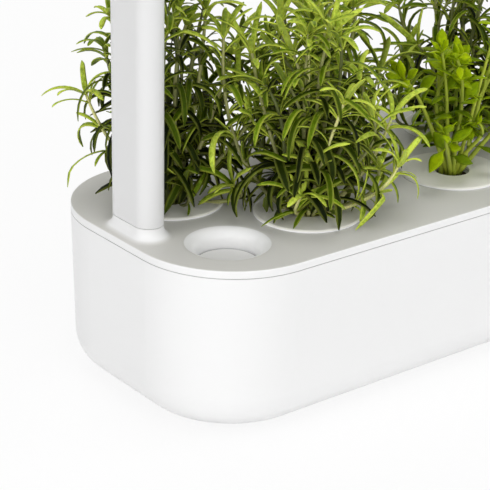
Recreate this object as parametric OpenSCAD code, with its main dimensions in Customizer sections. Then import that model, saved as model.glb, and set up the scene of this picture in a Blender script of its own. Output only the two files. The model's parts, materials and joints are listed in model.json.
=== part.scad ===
// Countertop hydroponic garden: a water tank under a planting deck, plant cups in two staggered
// rows, a filling basin with a level float, and a grow lamp on two lift-off arms.
// Millimetres. X runs along the garden and Z is up. The filling basin is at the front left.
// The origin is on the ground under the middle of the garden.

/* [Tank] */
// Overall length of the tank and deck
body_len = 590.5; // [500:0.5:700]
// Overall width of the tank and deck, front to back
body_w = 185; // [183:0.5:200]
// Radius of the upright corners, at the deck
corner_r = 63.4; // [58:0.1:70]
// Height of the tank, from its underside to the seam below the deck
tank_h = 102.3; // [95:0.1:120]
// Wall and floor thickness of the tank
tank_wall = 2.8; // [2:0.1:3.5]
// Radius of the rounded bottom edge
bottom_r = 22.7; // [15:0.1:26]
// Lean of the tank walls from upright, in degrees
draft = 1.24; // [0.5:0.01:2]
// Height of the shadow groove at the seam
groove_h = 0.4; // [0.2:0.05:0.8]
// Depth of the shadow grooves at the seams of the tank and the arms
groove_d = 0.5; // [0.2:0.05:0.8]

/* [Feet] */
// Radius of a rubber foot
foot_r = 8; // [5:0.5:12]
// Height that a foot stands out of the tank
foot_h = 1; // [0.6:0.1:3]
// Depth of the recess that a foot is glued into
foot_recess = 0.8; // [0.4:0.1:1.2]
// Distance of the end feet from the ends of the garden
foot_inset = 70.25; // [60:0.25:100]
// Distance of each row of feet from the centre line
foot_y = 48; // [40:0.5:52]

/* [Deck] */
// Height of the rim band above the seam
rim_h = 4.6; // [4:0.1:7]
// Radius of the rim's upper edge
rim_edge_r = 0.85; // [0.4:0.05:1.5]
// Thickness of the deck plate
deck_t = 2.6; // [2:0.1:3.2]
// Depth of the lip that reaches into the tank, below the seam
lip_depth = 7; // [4:0.5:10]
// Thickness of the lip, and of the collars and sockets under the deck
lip_t = 2; // [1.5:0.1:2.5]
// Gap between the lip and the tank wall
lip_gap = 0.5; // [0.4:0.05:0.8]

/* [Cups] */
// Radius of a cup's top plate
cup_r = 33.2; // [32:0.1:34]
// Height of the top plate above the deck
cup_plate_t = 1.9; // [1.4:0.1:2.6]
// Radius of the top plate's outer edge
cup_edge_r = 1.3; // [0.6:0.1:1.4]
// Radius of the planting hole
cup_hole_r = 11.5; // [10.5:0.1:12]
// Overlap of the top plate on the deck around its hole
cup_seat = 2.3; // [1.5:0.1:3]
// Height of the locating skirt under the top plate
cup_skirt_h = 7; // [4:0.5:10]
// Length of the root basket below the deck
basket_len = 62; // [50:1:66]
// Radius of the root basket at its lower end, outside
basket_tip_r = 10.6; // [10:0.1:11.5]
// Wall thickness of the cup
cup_wall = 1.5; // [1.2:0.1:1.8]
// Width of a root window in the basket
window_w = 6; // [3:0.5:8]
// Number of cups in the back row
back_count = 5; // [3:1:5]
// Number of cups in the front row
front_count = 4; // [2:1:4]
// Distance from an end of the garden to the first cup of the back row
back_end = 58.85; // [58.05:0.05:65]
// Distance from an end of the garden to the first cup of the front row
front_end = 116; // [115.3:0.1:122.7]
// Distance of the back row behind the centre line
back_y = 27.5; // [26:0.1:32]
// Distance of the front row in front of the centre line
front_y = 36.2; // [34:0.1:38]
// Play between a cup and its hole in the deck
cup_gap = 0.3; // [0.2:0.05:0.5]

/* [Pods and plants] */
// Radial gap between a pod and its basket
pod_gap = 0.3; // [0.1:0.05:0.5]
// Depth of the pod's top below the cup's top
pod_drop = 3; // [2:0.5:6]
// Height of the taller rosemary above the deck
rosemary_h = 142; // [110:1:160]
// Height of the oval-leaved herb above the deck
herb_h = 104; // [80:1:130]
// Lean of the outer stems, in degrees
stem_lean = 11; // [6:0.5:12]
// Lean of the low shoots that spread over the cup, in degrees
shoot_lean = 40; // [30:0.5:42]
// Length of a low shoot
shoot_len = 52; // [40:1:54]
// Radius of the leaves around a rosemary stem
tuft_r = 11; // [8:0.5:12]
// Radius of a stem
stem_r = 1.8; // [1.2:0.1:2.2]
// Half width of an oval leaf
herb_leaf_r = 9; // [6:0.5:10]
// Radius of the crown where the stems leave the pod
crown_r = 7; // [5:0.5:9]

/* [Filling basin] */
// Distance of the basin's centre from the left end
inlet_inset = 48.6; // [46:0.1:52]
// Distance of the basin's centre in front of the centre line
inlet_y = 44.9; // [42:0.1:48]
// Radius of the bowl at the deck
bowl_r = 27.3; // [25:0.1:29]
// Radius of the basin's throat
throat_r = 19.5; // [18:0.1:20.5]
// Depth of the basin's spout below the deck
spout_depth = 22; // [18:0.5:28]

/* [Level float] */
// Radial gap around the float's disc
float_gap = 0.8; // [0.5:0.05:1.2]
// Thickness of the float's disc
float_disc_t = 2; // [1.5:0.1:3]
// Depth of the disc below the deck when the tank is low
float_drop = 12; // [10:0.5:15]
// Radius of the float's stem
float_stem_r = 3; // [2:0.1:4]
// Length of bare stem between the disc and the buoy
float_neck = 8; // [6:0.5:10]
// Length of stem inside the buoy
float_root = 10; // [6:0.5:14]
// Radius of the buoy
buoy_r = 17.5; // [16:0.1:17.8]
// Height of the buoy
buoy_h = 22; // [16:0.5:26]
// Width of a slot in the float's cage
cage_slot_w = 12; // [8:0.5:14]

/* [Arms] */
// Distance of an arm's centre from the end of the garden
arm_inset = 16.5; // [16.5:0.1:18]
// Thickness of an arm, along the garden
arm_t = 18.2; // [16:0.1:18.6]
// Depth of an arm, front to back
arm_d = 39.3; // [36:0.1:41]
// Wall thickness of an arm
arm_wall = 2; // [1.5:0.1:2.5]
// Height of the flared foot that an arm stands in
socket_h = 7.6; // [7:0.1:10]
// Radius of the concave flare at the foot
flare_r = 6.4; // [4:0.1:6.5]
// Length of the lower arm that shows
lower_arm_len = 145; // [140:1:170]
// Length of the upper arm that shows
upper_arm_len = 110; // [100:1:130]
// Length of the spigot that holds an arm in the piece below
spigot_len = 25; // [18:0.5:30]
// Gap around a spigot
spigot_gap = 0.3; // [0.2:0.05:0.5]
// Gap below the end of a spigot
spigot_end_gap = 0.5; // [0.3:0.1:1]

/* [Lamp] */
// Distance from an arm to the end of the lamp
lamp_overhang = 6.4; // [5:0.1:9]
// Width of the lamp, front to back
lamp_w = 104; // [98:0.5:115]
// Radius of the lamp's corners in plan
lamp_corner_r = 44; // [40:0.5:46]
// Height of the lamp
lamp_h = 30; // [29:0.5:36]
// Wall thickness of the lamp's housing
lamp_wall = 2.2; // [1.8:0.1:2.6]
// Radius of the lamp's upper edge
lamp_edge_r = 8; // [4:0.5:8]
// Thickness of the lamp's base plate
base_t = 2.6; // [2.2:0.1:3]
// Length of the driver bay between an arm and the diffuser
bay_len = 50; // [48:1:56]
// Width of the diffuser's window
diffuser_w = 64; // [58:1:66]
// Thickness of the diffuser
diffuser_t = 2; // [1.6:0.1:2.6]
// Ledge that the diffuser lies on
diffuser_ledge = 4; // [3:0.5:5]
// Gap around the diffuser and around the base plate
fit_gap = 0.3; // [0.2:0.05:0.5]

/* [Lamp boards] */
// Height of the LED board's carrier above the base plate
carrier_rise = 9.4; // [8:0.2:12]
// Thickness of the heat sink's plate
sink_t = 3; // [2:0.1:4]
// Height of the heat sink's fins
fin_h = 6; // [3:0.5:6.5]
// Number of fins
fin_count = 8; // [4:1:10]
// Thickness of the circuit boards
board_t = 1.6; // [1:0.1:2]
// Width of the LED board
led_board_w = 56; // [50:1:60]
// Side of an LED
led_size = 5; // [3:0.5:6]
// LEDs in a row
led_count = 14; // [8:1:20]
// Rows of LEDs
led_rows = 2; // [2:1:3]
// Width of the driver board, along the garden
driver_x = 32; // [30:0.5:36]
// Length of the driver board, front to back
driver_y = 84; // [80:1:86]
// Height of the driver board above the base plate
driver_rise = 5.4; // [4:0.2:6]
// Radius of the pillars under the boards and the heat sink
pillar_r = 3; // [2.6:0.1:3.5]
// Radius of a wire
wire_r = 0.7; // [0.5:0.1:1]

/* [Button and inlet] */
// Radius of the push button
button_r = 6; // [4.5:0.1:7]
// Height of the button above the housing
button_h = 1.4; // [1.2:0.1:2.5]
// Travel of the button
button_travel = 0.8; // [0.5:0.1:1]
// Play around the button
button_gap = 0.25; // [0.15:0.05:0.4]
// Side of the timer switch's body
switch_size = 6; // [5:0.5:8]
// Height of the timer switch's body
switch_h = 4; // [3:0.2:5]
// Radius of the power inlet's socket
inlet_bore_r = 2.8; // [2.5:0.05:3]
// Radius of the inlet's centre pin
inlet_pin_r = 1.05; // [0.8:0.05:1.2]
// Outside width and height of the inlet's block
inlet_block = 9; // [8:0.5:10]

/* [Screws] */
// Radius of a screw's thread
screw_r = 1.5; // [1.2:0.05:1.7]
// Radius of a screw's head
screw_head_r = 2.7; // [2.4:0.1:2.8]
// Thickness of a screw's head
screw_head_t = 1.4; // [1:0.1:1.6]
// Length of a base screw inside its pillar
base_screw_bite = 8; // [6:0.5:10]
// Length of a board screw inside its pillar
board_screw_bite = 6; // [4:0.5:8]
// Play around a screw
screw_gap = 0.05; // [0.02:0.01:0.08]

/* [Hidden] */
$fn = 96;
MODEL_EPS = 0.02;            // overshoot of a cut past the face that it opens

// Heights above the ground
seam_z = foot_h + tank_h;
deck_z = seam_z + rim_h;
socket_z = deck_z + socket_h;
upper_z = socket_z + lower_arm_len;
lamp_z = upper_z + upper_arm_len;

// Tank section: the outer wall's distance from a corner's centre at height z above the underside
function wall_x(z) = corner_r - (tank_h - z) * tan(draft);
arc_x = wall_x(bottom_r) - bottom_r / cos(draft);

// Places along and across the garden
arm_x = body_len / 2 - arm_inset;
inlet_x = -body_len / 2 + inlet_inset;
foot_x = body_len / 2 - foot_inset;
function row_x(i, count, end) = (i / (count - 1) - 0.5) * (body_len - 2 * end);
back_spots = [for (i = [0:back_count - 1]) [row_x(i, back_count, back_end), back_y]];
front_spots = [for (i = [0:front_count - 1]) [row_x(i, front_count, front_end), -front_y]];
cup_spots = concat(back_spots, front_spots);
foot_spots = [for (x = [-foot_x, 0, foot_x], y = [-foot_y, foot_y]) [x, y]];

// Cup and its hole
hole_r = cup_r - cup_seat;
skirt_r = hole_r - cup_gap;
basket_top_r = cup_hole_r + cup_wall;

// Level float, with heights measured down from the deck
disc_r = throat_r - float_gap;
buoy_top = float_drop + float_disc_t + float_neck;
buoy_bottom = buoy_top + buoy_h;
spout_r = throat_r + lip_t;
cage_overlap = 8;            // height of the cage's collar around the spout
cage_foot_t = 2;             // thickness of the ledge that the buoy rests on
cage_fit = 0.05;             // running fit of the collar and of the stem's root

// Arm: half sizes of the outside, and of the spigot that fits inside
arm_hx = arm_t / 2;
arm_hy = arm_d / 2;
spigot_inset = arm_wall + spigot_gap;
arm_floor = 3;               // solid floor at the lower end of an arm

// Lamp, with heights measured up from its underside
lamp_len = 2 * (arm_x + arm_hx + lamp_overhang);
window_hx = arm_x - arm_hx - bay_len;
carrier_z = base_t + carrier_rise;
sink_pillar_x = window_hx + diffuser_ledge + pillar_r + 1;
sink_hx = sink_pillar_x + pillar_r + 1;
sink_hy = diffuser_w / 2 + pillar_r;
sink_pillar_inset = 5;       // distance of a pillar's centre from the sink's long side
led_z = carrier_z - board_t;
led_board_hx = window_hx - 6;
led_margin = 15;             // distance of the end LEDs from the board's ends
board_gap = 2;               // gap between the heat sink and the driver board
driver_mid_x = sink_hx + board_gap + driver_x / 2;
driver_z = base_t + driver_rise;
driver_top = driver_z + board_t;
plunger_r = 1.75;
plunger_rise = 1.2;          // height of the plunger above the switch's body
button_flange_t = 1;
inlet_depth = 14;            // length of the inlet's block
lamp_inner_h = lamp_h - lamp_wall;
driver_pillar_inset = 4;     // distance of a pillar's centre from the driver board's sides
base_screw_end = 20;         // distance of the end base screws from the window's ends
base_screw_side = 9;         // distance of the base screws from the lamp's long sides
sink_pillars = [for (x = [-1, 1], y = [-1, 1])
    [x * sink_pillar_x, y * (sink_hy - sink_pillar_inset)]];
driver_pillars = [for (x = [-1, 1], y = [-1, 1])
    [driver_mid_x + x * (driver_x / 2 - driver_pillar_inset),
     y * (driver_y / 2 - driver_pillar_inset)]];
base_screw_spots = [for (x = [-1, 0, 1], y = [-1, 1])
    [x * (window_hx - base_screw_end), y * (lamp_w / 2 - base_screw_side)]];

function cup_name(kind, row, i) = str(kind, "_", row, "_", i + 1);
function plant_kind(row, i) = (row == "back" ? i == 3 : i % 2 == 1) ? "basil" : "rosemary";
foot_names = [for (i = [0:len(foot_spots) - 1]) str("rubber_foot_", i + 1)];
back_names = [for (i = [0:back_count - 1]) each
    [cup_name("cup", "back", i), cup_name("pod", "back", i), cup_name(plant_kind("back", i), "back", i)]];
front_names = [for (i = [0:front_count - 1]) each
    [cup_name("cup", "front", i), cup_name("pod", "front", i),
     cup_name(plant_kind("front", i), "front", i)]];
NODES = concat(
    ["water_tank", "deck_cover", "float_cage", "float_disc", "float_buoy"], foot_names, back_names,
    front_names, ["lower_arm_left", "lower_arm_right", "upper_arm_left", "upper_arm_right"],
    ["lamp_housing", "lamp_base", "lamp_diffuser", "heat_sink", "led_board", "leds", "driver_board"],
    ["led_wires", "timer_switch", "switch_plunger", "push_button", "power_inlet", "base_screws",
     "board_screws"]);
node = "all";

function wanted(name) = node == "all" || node == name;

// ---- Shared shapes ----

// Sweeps a section around a rounded rectangle. The section's X is measured outwards from the
// centre of a corner of radius r, and its Y is height.
module rounded_sweep(len, wid, r) {
    turns = [[1, 1, 0], [-1, 1, 90], [-1, -1, 180], [1, -1, 270]];
    for (t = turns)
        translate([t[0] * (len / 2 - r), t[1] * (wid / 2 - r), 0])
            rotate([0, 0, t[2]])
                rotate_extrude(angle = 90)
                    children();
    for (side = [0, 180])
        rotate([0, 0, side]) {
            translate([-(len / 2 - r), wid / 2 - r, 0])
                rotate([90, 0, 90])
                    linear_extrude(len - 2 * r)
                        children();
            translate([len / 2 - r, wid / 2 - r, 0])
                rotate([90, 0, 0])
                    linear_extrude(wid - 2 * r)
                        children();
        }
}

// Flat middle of a rounded sweep, from z0 to z1
module sweep_middle(len, wid, r, z0, z1) {
    translate([-(len / 2 - r), -(wid / 2 - r), z0])
        cube([len - 2 * r, wid - 2 * r, z1 - z0]);
}

// Plan outline of an arm, with round front and back ends
module stadium(hx, hy) {
    square([2 * hx, 2 * (hy - hx)], center = true);
    for (s = [-1, 1])
        translate([0, s * (hy - hx)])
            circle(hx);
}

module stadium_block(hx, hy, h) {
    linear_extrude(h)
        stadium(hx, hy);
}

// Rounded rectangle in plan
module rounded_plate(len, wid, r, h) {
    linear_extrude(h)
        union() {
            square([len - 2 * r, wid], center = true);
            square([len, wid - 2 * r], center = true);
            for (x = [-1, 1], y = [-1, 1])
                translate([x * (len / 2 - r), y * (wid / 2 - r)])
                    circle(r);
        }
}

module at_spots(spots, z) {
    for (p = spots)
        translate([p[0], p[1], z])
            children();
}

// ---- Tank ----

// Filled half section of the tank, moved in by inset, with its floor at z = inset
module tank_half(inset, top) {
    lean = [cos(draft), -sin(draft)];
    tangent = [arc_x, bottom_r] + (bottom_r - inset) * lean;
    polygon([[0, inset], [arc_x, inset], tangent, [wall_x(top) - inset / cos(draft), top], [0, top]]);
    translate([arc_x, bottom_r])
        circle(bottom_r - inset);
}

module tank_section() {
    difference() {
        intersection() {
            tank_half(0, tank_h);
            square([corner_r + 1, tank_h]);
        }
        intersection() {
            tank_half(tank_wall, tank_h + 1);
            square([corner_r + 1, tank_h + 1]);
        }
        translate([wall_x(tank_h - groove_h) - groove_d, tank_h - groove_h])
            square([corner_r, groove_h + 1]);
    }
}

module water_tank() {
    color("white")
        translate([0, 0, foot_h])
            difference() {
                union() {
                    rounded_sweep(body_len, body_w, corner_r)
                        tank_section();
                    sweep_middle(body_len, body_w, corner_r, 0, tank_wall);
                }
                at_spots(foot_spots, -MODEL_EPS)
                    cylinder(h = foot_recess + MODEL_EPS, r = foot_r + fit_gap);
            }
}

module rubber_foot(i) {
    color("dimgray")
        translate([foot_spots[i][0], foot_spots[i][1], 0])
            cylinder(h = foot_h + foot_recess, r = foot_r);
}

// ---- Deck ----

module deck_section() {
    difference() {
        union() {
            square([corner_r - rim_edge_r, rim_h]);
            square([corner_r, rim_h - rim_edge_r]);
            translate([corner_r - rim_edge_r, rim_h - rim_edge_r])
                circle(rim_edge_r);
        }
        translate([-1, -1])
            square([corner_r - tank_wall + 1, rim_h - deck_t + 1]);
    }
    lip_x = corner_r - tank_wall - lip_gap - lip_t;
    translate([lip_x, -lip_depth])
        square([lip_t, lip_depth + rim_h - deck_t]);
}

// Section of the basin: a bowl that curves from the deck into an upright throat
module bowl_cut() {
    drop = bowl_r - throat_r;
    rotate_extrude()
        difference() {
            translate([0, -drop])
                square([bowl_r, drop + MODEL_EPS]);
            translate([bowl_r, -drop])
                circle(drop);
        }
}

module flare_section() {
    difference() {
        square([arm_hx + flare_r, flare_r]);
        translate([arm_hx + flare_r, flare_r])
            circle(flare_r);
    }
}

// Flared foot around an arm, standing on the deck
module flare() {
    straight = arm_hy - arm_hx;
    for (side = [0, 180])
        rotate([0, 0, side]) {
            translate([0, straight, 0])
                rotate_extrude(angle = 180)
                    flare_section();
            translate([0, straight, 0])
                rotate([90, 0, 0])
                    linear_extrude(2 * straight)
                        flare_section();
        }
    stadium_block(arm_hx, arm_hy, socket_h);
}

module deck_cover() {
    pocket_depth = spigot_len + spigot_end_gap;
    boss_depth = pocket_depth - socket_h + lip_t;
    plate_z = deck_z - deck_t;
    color("gainsboro")
        difference() {
            union() {
                translate([0, 0, seam_z])
                    rounded_sweep(body_len, body_w, corner_r)
                        deck_section();
                translate([0, 0, seam_z])
                    sweep_middle(body_len, body_w, corner_r, rim_h - deck_t, rim_h);
                for (s = [-1, 1])
                    translate([s * arm_x, 0, 0]) {
                        translate([0, 0, deck_z])
                            flare();
                        translate([0, 0, deck_z - boss_depth])
                            stadium_block(arm_hx, arm_hy, boss_depth);
                    }
                at_spots(cup_spots, deck_z - cup_skirt_h)
                    cylinder(h = cup_skirt_h - MODEL_EPS, r = hole_r + lip_t);
                translate([inlet_x, -inlet_y, deck_z - (bowl_r - throat_r) - deck_t])
                    cylinder(h = bowl_r - throat_r + deck_t - MODEL_EPS, r = bowl_r);
                translate([inlet_x, -inlet_y, deck_z - spout_depth])
                    cylinder(h = spout_depth - MODEL_EPS, r = spout_r);
            }
            at_spots(cup_spots, deck_z - cup_skirt_h - 1)
                cylinder(h = cup_skirt_h + 2, r = hole_r);
            at_spots(cup_spots, deck_z)
                cylinder(h = socket_h, r = cup_r + cup_gap);
            translate([inlet_x, -inlet_y, deck_z])
                bowl_cut();
            translate([inlet_x, -inlet_y, deck_z - spout_depth - 1])
                cylinder(h = spout_depth + 2, r = throat_r);
            for (s = [-1, 1])
                translate([s * arm_x, 0, socket_z - pocket_depth])
                    stadium_block(arm_hx - arm_wall, arm_hy - arm_wall, pocket_depth + 1);
        }
}

// ---- Cups, pods and plants ----

// Half section of a cup, with height measured from the deck
module cup_section() {
    floor_hole = basket_tip_r / 2;
    difference() {
        union() {
            square([cup_r - cup_edge_r, cup_plate_t]);
            square([cup_r, cup_plate_t - cup_edge_r]);
            translate([cup_r - cup_edge_r, cup_plate_t - cup_edge_r])
                intersection() {
                    circle(cup_edge_r);
                    square(cup_edge_r);
                }
            translate([skirt_r - cup_wall, -cup_skirt_h])
                square([cup_wall, cup_skirt_h]);
            polygon([[0, 0], [0, -basket_len], [basket_tip_r, -basket_len], [basket_top_r, 0]]);
        }
        polygon([
            [-1, cup_plate_t + 1], [cup_hole_r, cup_plate_t + 1], [cup_hole_r, 0],
            [basket_tip_r - cup_wall, cup_wall - basket_len], [-1, cup_wall - basket_len]]);
        translate([-1, -basket_len - 1])
            square([floor_hole + 1, cup_wall + 2]);
    }
}

module plant_cup(spot) {
    window_h = basket_len * 0.55;
    window_end = 5;          // height of a window's lower end above the basket's foot
    color("white")
        translate([spot[0], spot[1], deck_z])
            difference() {
                rotate_extrude()
                    cup_section();
                for (turn = [0, 90])
                    rotate([0, 0, turn])
                        translate([-basket_top_r - 1, -window_w / 2, window_end - basket_len])
                            cube([2 * basket_top_r + 2, window_w, window_h]);
            }
}

module growing_pod(spot) {
    top_z = cup_plate_t - pod_drop;
    floor_z = cup_wall - basket_len;
    tip_r = basket_tip_r - cup_wall - pod_gap;
    top_r = cup_hole_r - pod_gap;
    color("saddlebrown")
        translate([spot[0], spot[1], deck_z + floor_z])
            cylinder(h = top_z - floor_z, r1 = tip_r, r2 = top_r - 0.2);
}

// A leafy stem: bare below, then a long bud-shaped body of leaves
module sprig(h, leaf_r) {
    rotate_extrude()
        polygon([
            [0, 0], [stem_r, 0], [stem_r, 0.14 * h], [0.6 * leaf_r, 0.2 * h], [leaf_r, 0.45 * h],
            [0.75 * leaf_r, 0.8 * h], [0.2 * leaf_r, h], [0, h]]);
}

// Stems in a ring around the crown, leaning out. The ring is open towards +X.
module stem_ring(count, lean) {
    for (i = [0:count - 1])
        rotate([0, 0, (i + 0.5) * 360 / count])
            translate([crown_r / 2, 0, 0])
                rotate([0, lean, 0]) {
                    $stem = i;
                    children();
                }
}

// A plant that stands on its pod. Its open side faces the nearer arm, which it so stays clear of.
module planted(spot) {
    base_z = deck_z + cup_plate_t - pod_drop;
    to_arm = [(spot[0] < 0 ? -1 : 1) * arm_x, 0] - spot;
    translate([spot[0], spot[1], base_z])
        rotate([0, 0, atan2(to_arm[1], to_arm[0])])
            difference() {
                children();
                translate([0, 0, -crown_r])
                    cylinder(h = crown_r, r = 3 * crown_r);
            }
}

module rosemary(spot, h) {
    top = h - cup_plate_t + pod_drop;
    color("olivedrab")
        planted(spot)
            union() {
                cylinder(h = 0.7 * crown_r, r = crown_r);
                sprig(top, tuft_r);
                stem_ring(6, stem_lean)
                    sprig((0.74 + 0.12 * ($stem % 3)) * top, 0.9 * tuft_r);
                stem_ring(5, shoot_lean)
                    sprig(shoot_len, 0.75 * tuft_r);
            }
}

// A broad leaf that stands out from its stem
module leaf(leaf_r, tilt) {
    leaf_t = 0.16 * herb_leaf_r;
    rotate([0, tilt, 0])
        translate([0.93 * leaf_r, 0, -leaf_t / 2])
            cylinder(h = leaf_t, r = leaf_r);
}

// A stem with crossed pairs of leaves up to its tip
module leafy_stem(h) {
    pair_count = 3;
    cylinder(h = h, r = stem_r);
    for (k = [1:pair_count], side = [0, 180])
        translate([0, 0, h * (0.28 + 0.7 * k / pair_count)])
            rotate([0, 0, 90 * k + side])
                leaf(herb_leaf_r * (1.2 - 0.15 * k), -25 - 5 * k);
}

module basil(spot, h) {
    top = h - cup_plate_t + pod_drop;
    color("yellowgreen")
        planted(spot)
            union() {
                cylinder(h = 0.7 * crown_r, r = crown_r);
                leafy_stem(top);
                stem_ring(3, stem_lean)
                    leafy_stem((0.6 + 0.12 * $stem) * top);
            }
}

// Neighbouring plants differ a little in height
module plant(kind, spot, i) {
    if (kind == "basil")
        basil(spot, herb_h * (1 - 0.06 * (i % 2)));
    else
        rosemary(spot, rosemary_h * (1 - 0.05 * (i % 3)));
}

// ---- Level float ----

module float_cage() {
    collar_r = spout_r + cage_fit + lip_t;
    ledge_w = 4;             // width of the ledge that the buoy rests on
    slot_end = 3;            // height of a slot's lower end above the ledge
    color("whitesmoke")
        translate([inlet_x, -inlet_y, deck_z])
            difference() {
                union() {
                    translate([0, 0, -spout_depth - lip_t])
                        cylinder(h = cage_overlap + lip_t, r = collar_r);
                    translate([0, 0, -buoy_bottom - cage_foot_t])
                        cylinder(h = buoy_bottom + cage_foot_t - spout_depth, r = spout_r);
                }
                translate([0, 0, -spout_depth])
                    cylinder(h = cage_overlap + 1, r = spout_r + cage_fit);
                translate([0, 0, -buoy_bottom])
                    cylinder(h = buoy_bottom, r = throat_r);
                translate([0, 0, -buoy_bottom - cage_foot_t - 1])
                    cylinder(h = cage_foot_t + 2, r = buoy_r - ledge_w);
                for (turn = [0, 90])
                    rotate([0, 0, turn])
                        translate([-collar_r - 1, -cage_slot_w / 2, slot_end - buoy_bottom])
                            cube([2 * collar_r + 2, cage_slot_w,
                                buoy_bottom - spout_depth - cage_overlap]);
            }
}

module float_disc() {
    color("white")
        translate([inlet_x, -inlet_y, deck_z]) {
            translate([0, 0, -float_drop - float_disc_t])
                cylinder(h = float_disc_t, r = disc_r);
            translate([0, 0, -buoy_top - float_root])
                cylinder(h = float_neck + float_root, r = float_stem_r);
        }
}

module float_buoy() {
    color("lightyellow")
        translate([inlet_x, -inlet_y, deck_z - buoy_bottom])
            difference() {
                cylinder(h = buoy_h, r = buoy_r);
                translate([0, 0, buoy_h - float_root])
                    cylinder(h = float_root + 1, r = float_stem_r + cage_fit);
            }
}

// ---- Arms ----

// Hollow arm with a solid floor and a spigot below it, standing at z = 0
module arm(len) {
    difference() {
        union() {
            translate([0, 0, groove_h])
                stadium_block(arm_hx, arm_hy, len - groove_h);
            stadium_block(arm_hx - groove_d, arm_hy - groove_d, groove_h + 1);
        }
        translate([0, 0, arm_floor])
            stadium_block(arm_hx - arm_wall, arm_hy - arm_wall, len);
    }
    spigot();
}

module spigot() {
    hx = arm_hx - spigot_inset;
    hy = arm_hy - spigot_inset;
    translate([0, 0, -spigot_len])
        difference() {
            stadium_block(hx, hy, spigot_len + 1);
            translate([0, 0, -1])
                stadium_block(hx - arm_wall, hy - arm_wall, spigot_len + 1);
        }
}

module lower_arm(side) {
    color("white")
        translate([side * arm_x, 0, socket_z])
            arm(lower_arm_len);
}

module upper_arm(side) {
    color("white")
        translate([side * arm_x, 0, upper_z])
            arm(upper_arm_len);
}

// ---- Lamp ----

module lamp_shell_section() {
    difference() {
        union() {
            square([lamp_corner_r - lamp_edge_r, lamp_h]);
            square([lamp_corner_r, lamp_h - lamp_edge_r]);
            translate([lamp_corner_r - lamp_edge_r, lamp_h - lamp_edge_r])
                circle(lamp_edge_r);
        }
        translate([-1, -1])
            square([lamp_corner_r - lamp_edge_r + 1, lamp_inner_h + 1]);
        translate([-1, -1])
            square([lamp_corner_r - lamp_wall + 1, lamp_h - lamp_edge_r + 1]);
        translate([lamp_corner_r - lamp_edge_r, lamp_h - lamp_edge_r])
            circle(lamp_edge_r - lamp_wall);
    }
}

module lamp_housing() {
    post_z = base_t;
    color("white")
        translate([0, 0, lamp_z])
            difference() {
                union() {
                    rounded_sweep(lamp_len, lamp_w, lamp_corner_r)
                        lamp_shell_section();
                    sweep_middle(lamp_len, lamp_w, lamp_corner_r, lamp_inner_h, lamp_h);
                    at_spots(base_screw_spots, post_z)
                        cylinder(h = lamp_inner_h - post_z + MODEL_EPS, r = pillar_r);
                }
                at_spots(base_screw_spots, post_z - 1)
                    cylinder(h = base_screw_bite + 4, r = screw_r + screw_gap);
                translate([driver_mid_x, 0, lamp_inner_h - 1])
                    cylinder(h = lamp_wall + 2, r = button_r + button_gap);
                translate([driver_mid_x, lamp_w / 2 - lamp_wall - 1, driver_top + inlet_block / 2])
                    rotate([-90, 0, 0])
                        cylinder(h = lamp_wall + 2, r = inlet_bore_r + 1);
            }
}

module lamp_base() {
    len = lamp_len - 2 * (lamp_wall + fit_gap);
    wid = lamp_w - 2 * (lamp_wall + fit_gap);
    ledge_z = base_t - diffuser_t / 2;
    color("white")
        translate([0, 0, lamp_z])
            difference() {
                union() {
                    rounded_plate(len, wid, lamp_corner_r - lamp_wall - fit_gap, base_t);
                    for (s = [-1, 1])
                        translate([s * arm_x, 0, 0])
                            spigot();
                    at_spots(sink_pillars, 1)
                        cylinder(h = carrier_z - 1, r = pillar_r);
                    at_spots(driver_pillars, 1)
                        cylinder(h = driver_z - 1, r = pillar_r);
                }
                translate([-window_hx, -diffuser_w / 2, -1])
                    cube([2 * window_hx, diffuser_w, base_t + 2]);
                translate([-window_hx - diffuser_ledge, -diffuser_w / 2 - diffuser_ledge, ledge_z])
                    cube([2 * (window_hx + diffuser_ledge), diffuser_w + 2 * diffuser_ledge, base_t]);
                at_spots(base_screw_spots, -1)
                    cylinder(h = base_t + 2, r = screw_r + screw_gap);
                at_spots(base_screw_spots, -1)
                    cylinder(h = screw_head_t + 1, r = screw_head_r + screw_gap);
                at_spots(concat(sink_pillars, driver_pillars), base_t)
                    cylinder(h = carrier_z, r = screw_r + screw_gap);
            }
}

module lamp_diffuser() {
    hx = window_hx + diffuser_ledge - fit_gap;
    hy = diffuser_w / 2 + diffuser_ledge - fit_gap;
    color("ghostwhite")
        translate([-hx, -hy, lamp_z + base_t - diffuser_t / 2])
            cube([2 * hx, 2 * hy, diffuser_t]);
}

module heat_sink() {
    fin_t = 1.6;
    fin_inset = 6;           // distance of the outer fins from the sink's sides
    fin_len = 2 * (sink_hx - 2 * fin_inset);
    fin_span = 2 * (sink_hy - fin_inset);
    color("silver")
        translate([0, 0, lamp_z + carrier_z])
            difference() {
                union() {
                    translate([-sink_hx, -sink_hy, 0])
                        cube([2 * sink_hx, 2 * sink_hy, sink_t]);
                    for (i = [0:fin_count - 1])
                        translate([-fin_len / 2, -fin_span / 2 + i * (fin_span - fin_t) / (fin_count - 1), 0])
                            cube([fin_len, fin_t, sink_t + fin_h]);
                }
                at_spots(sink_pillars, -1)
                    cylinder(h = sink_t + 2, r = screw_r + screw_gap);
            }
}

module led_board() {
    color("ivory")
        translate([-led_board_hx, -led_board_w / 2, lamp_z + led_z])
            cube([2 * led_board_hx, led_board_w, board_t]);
}

module leds() {
    span = 2 * (led_board_hx - led_margin);
    led_t = 1;
    row_gap = led_board_w / led_rows;
    color("khaki")
        for (i = [0:led_count - 1], j = [0:led_rows - 1])
            translate([
                -span / 2 + i * span / (led_count - 1) - led_size / 2,
                (j - (led_rows - 1) / 2) * row_gap - led_size / 2,
                lamp_z + led_z - led_t])
                cube([led_size, led_size, led_t]);
}

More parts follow.
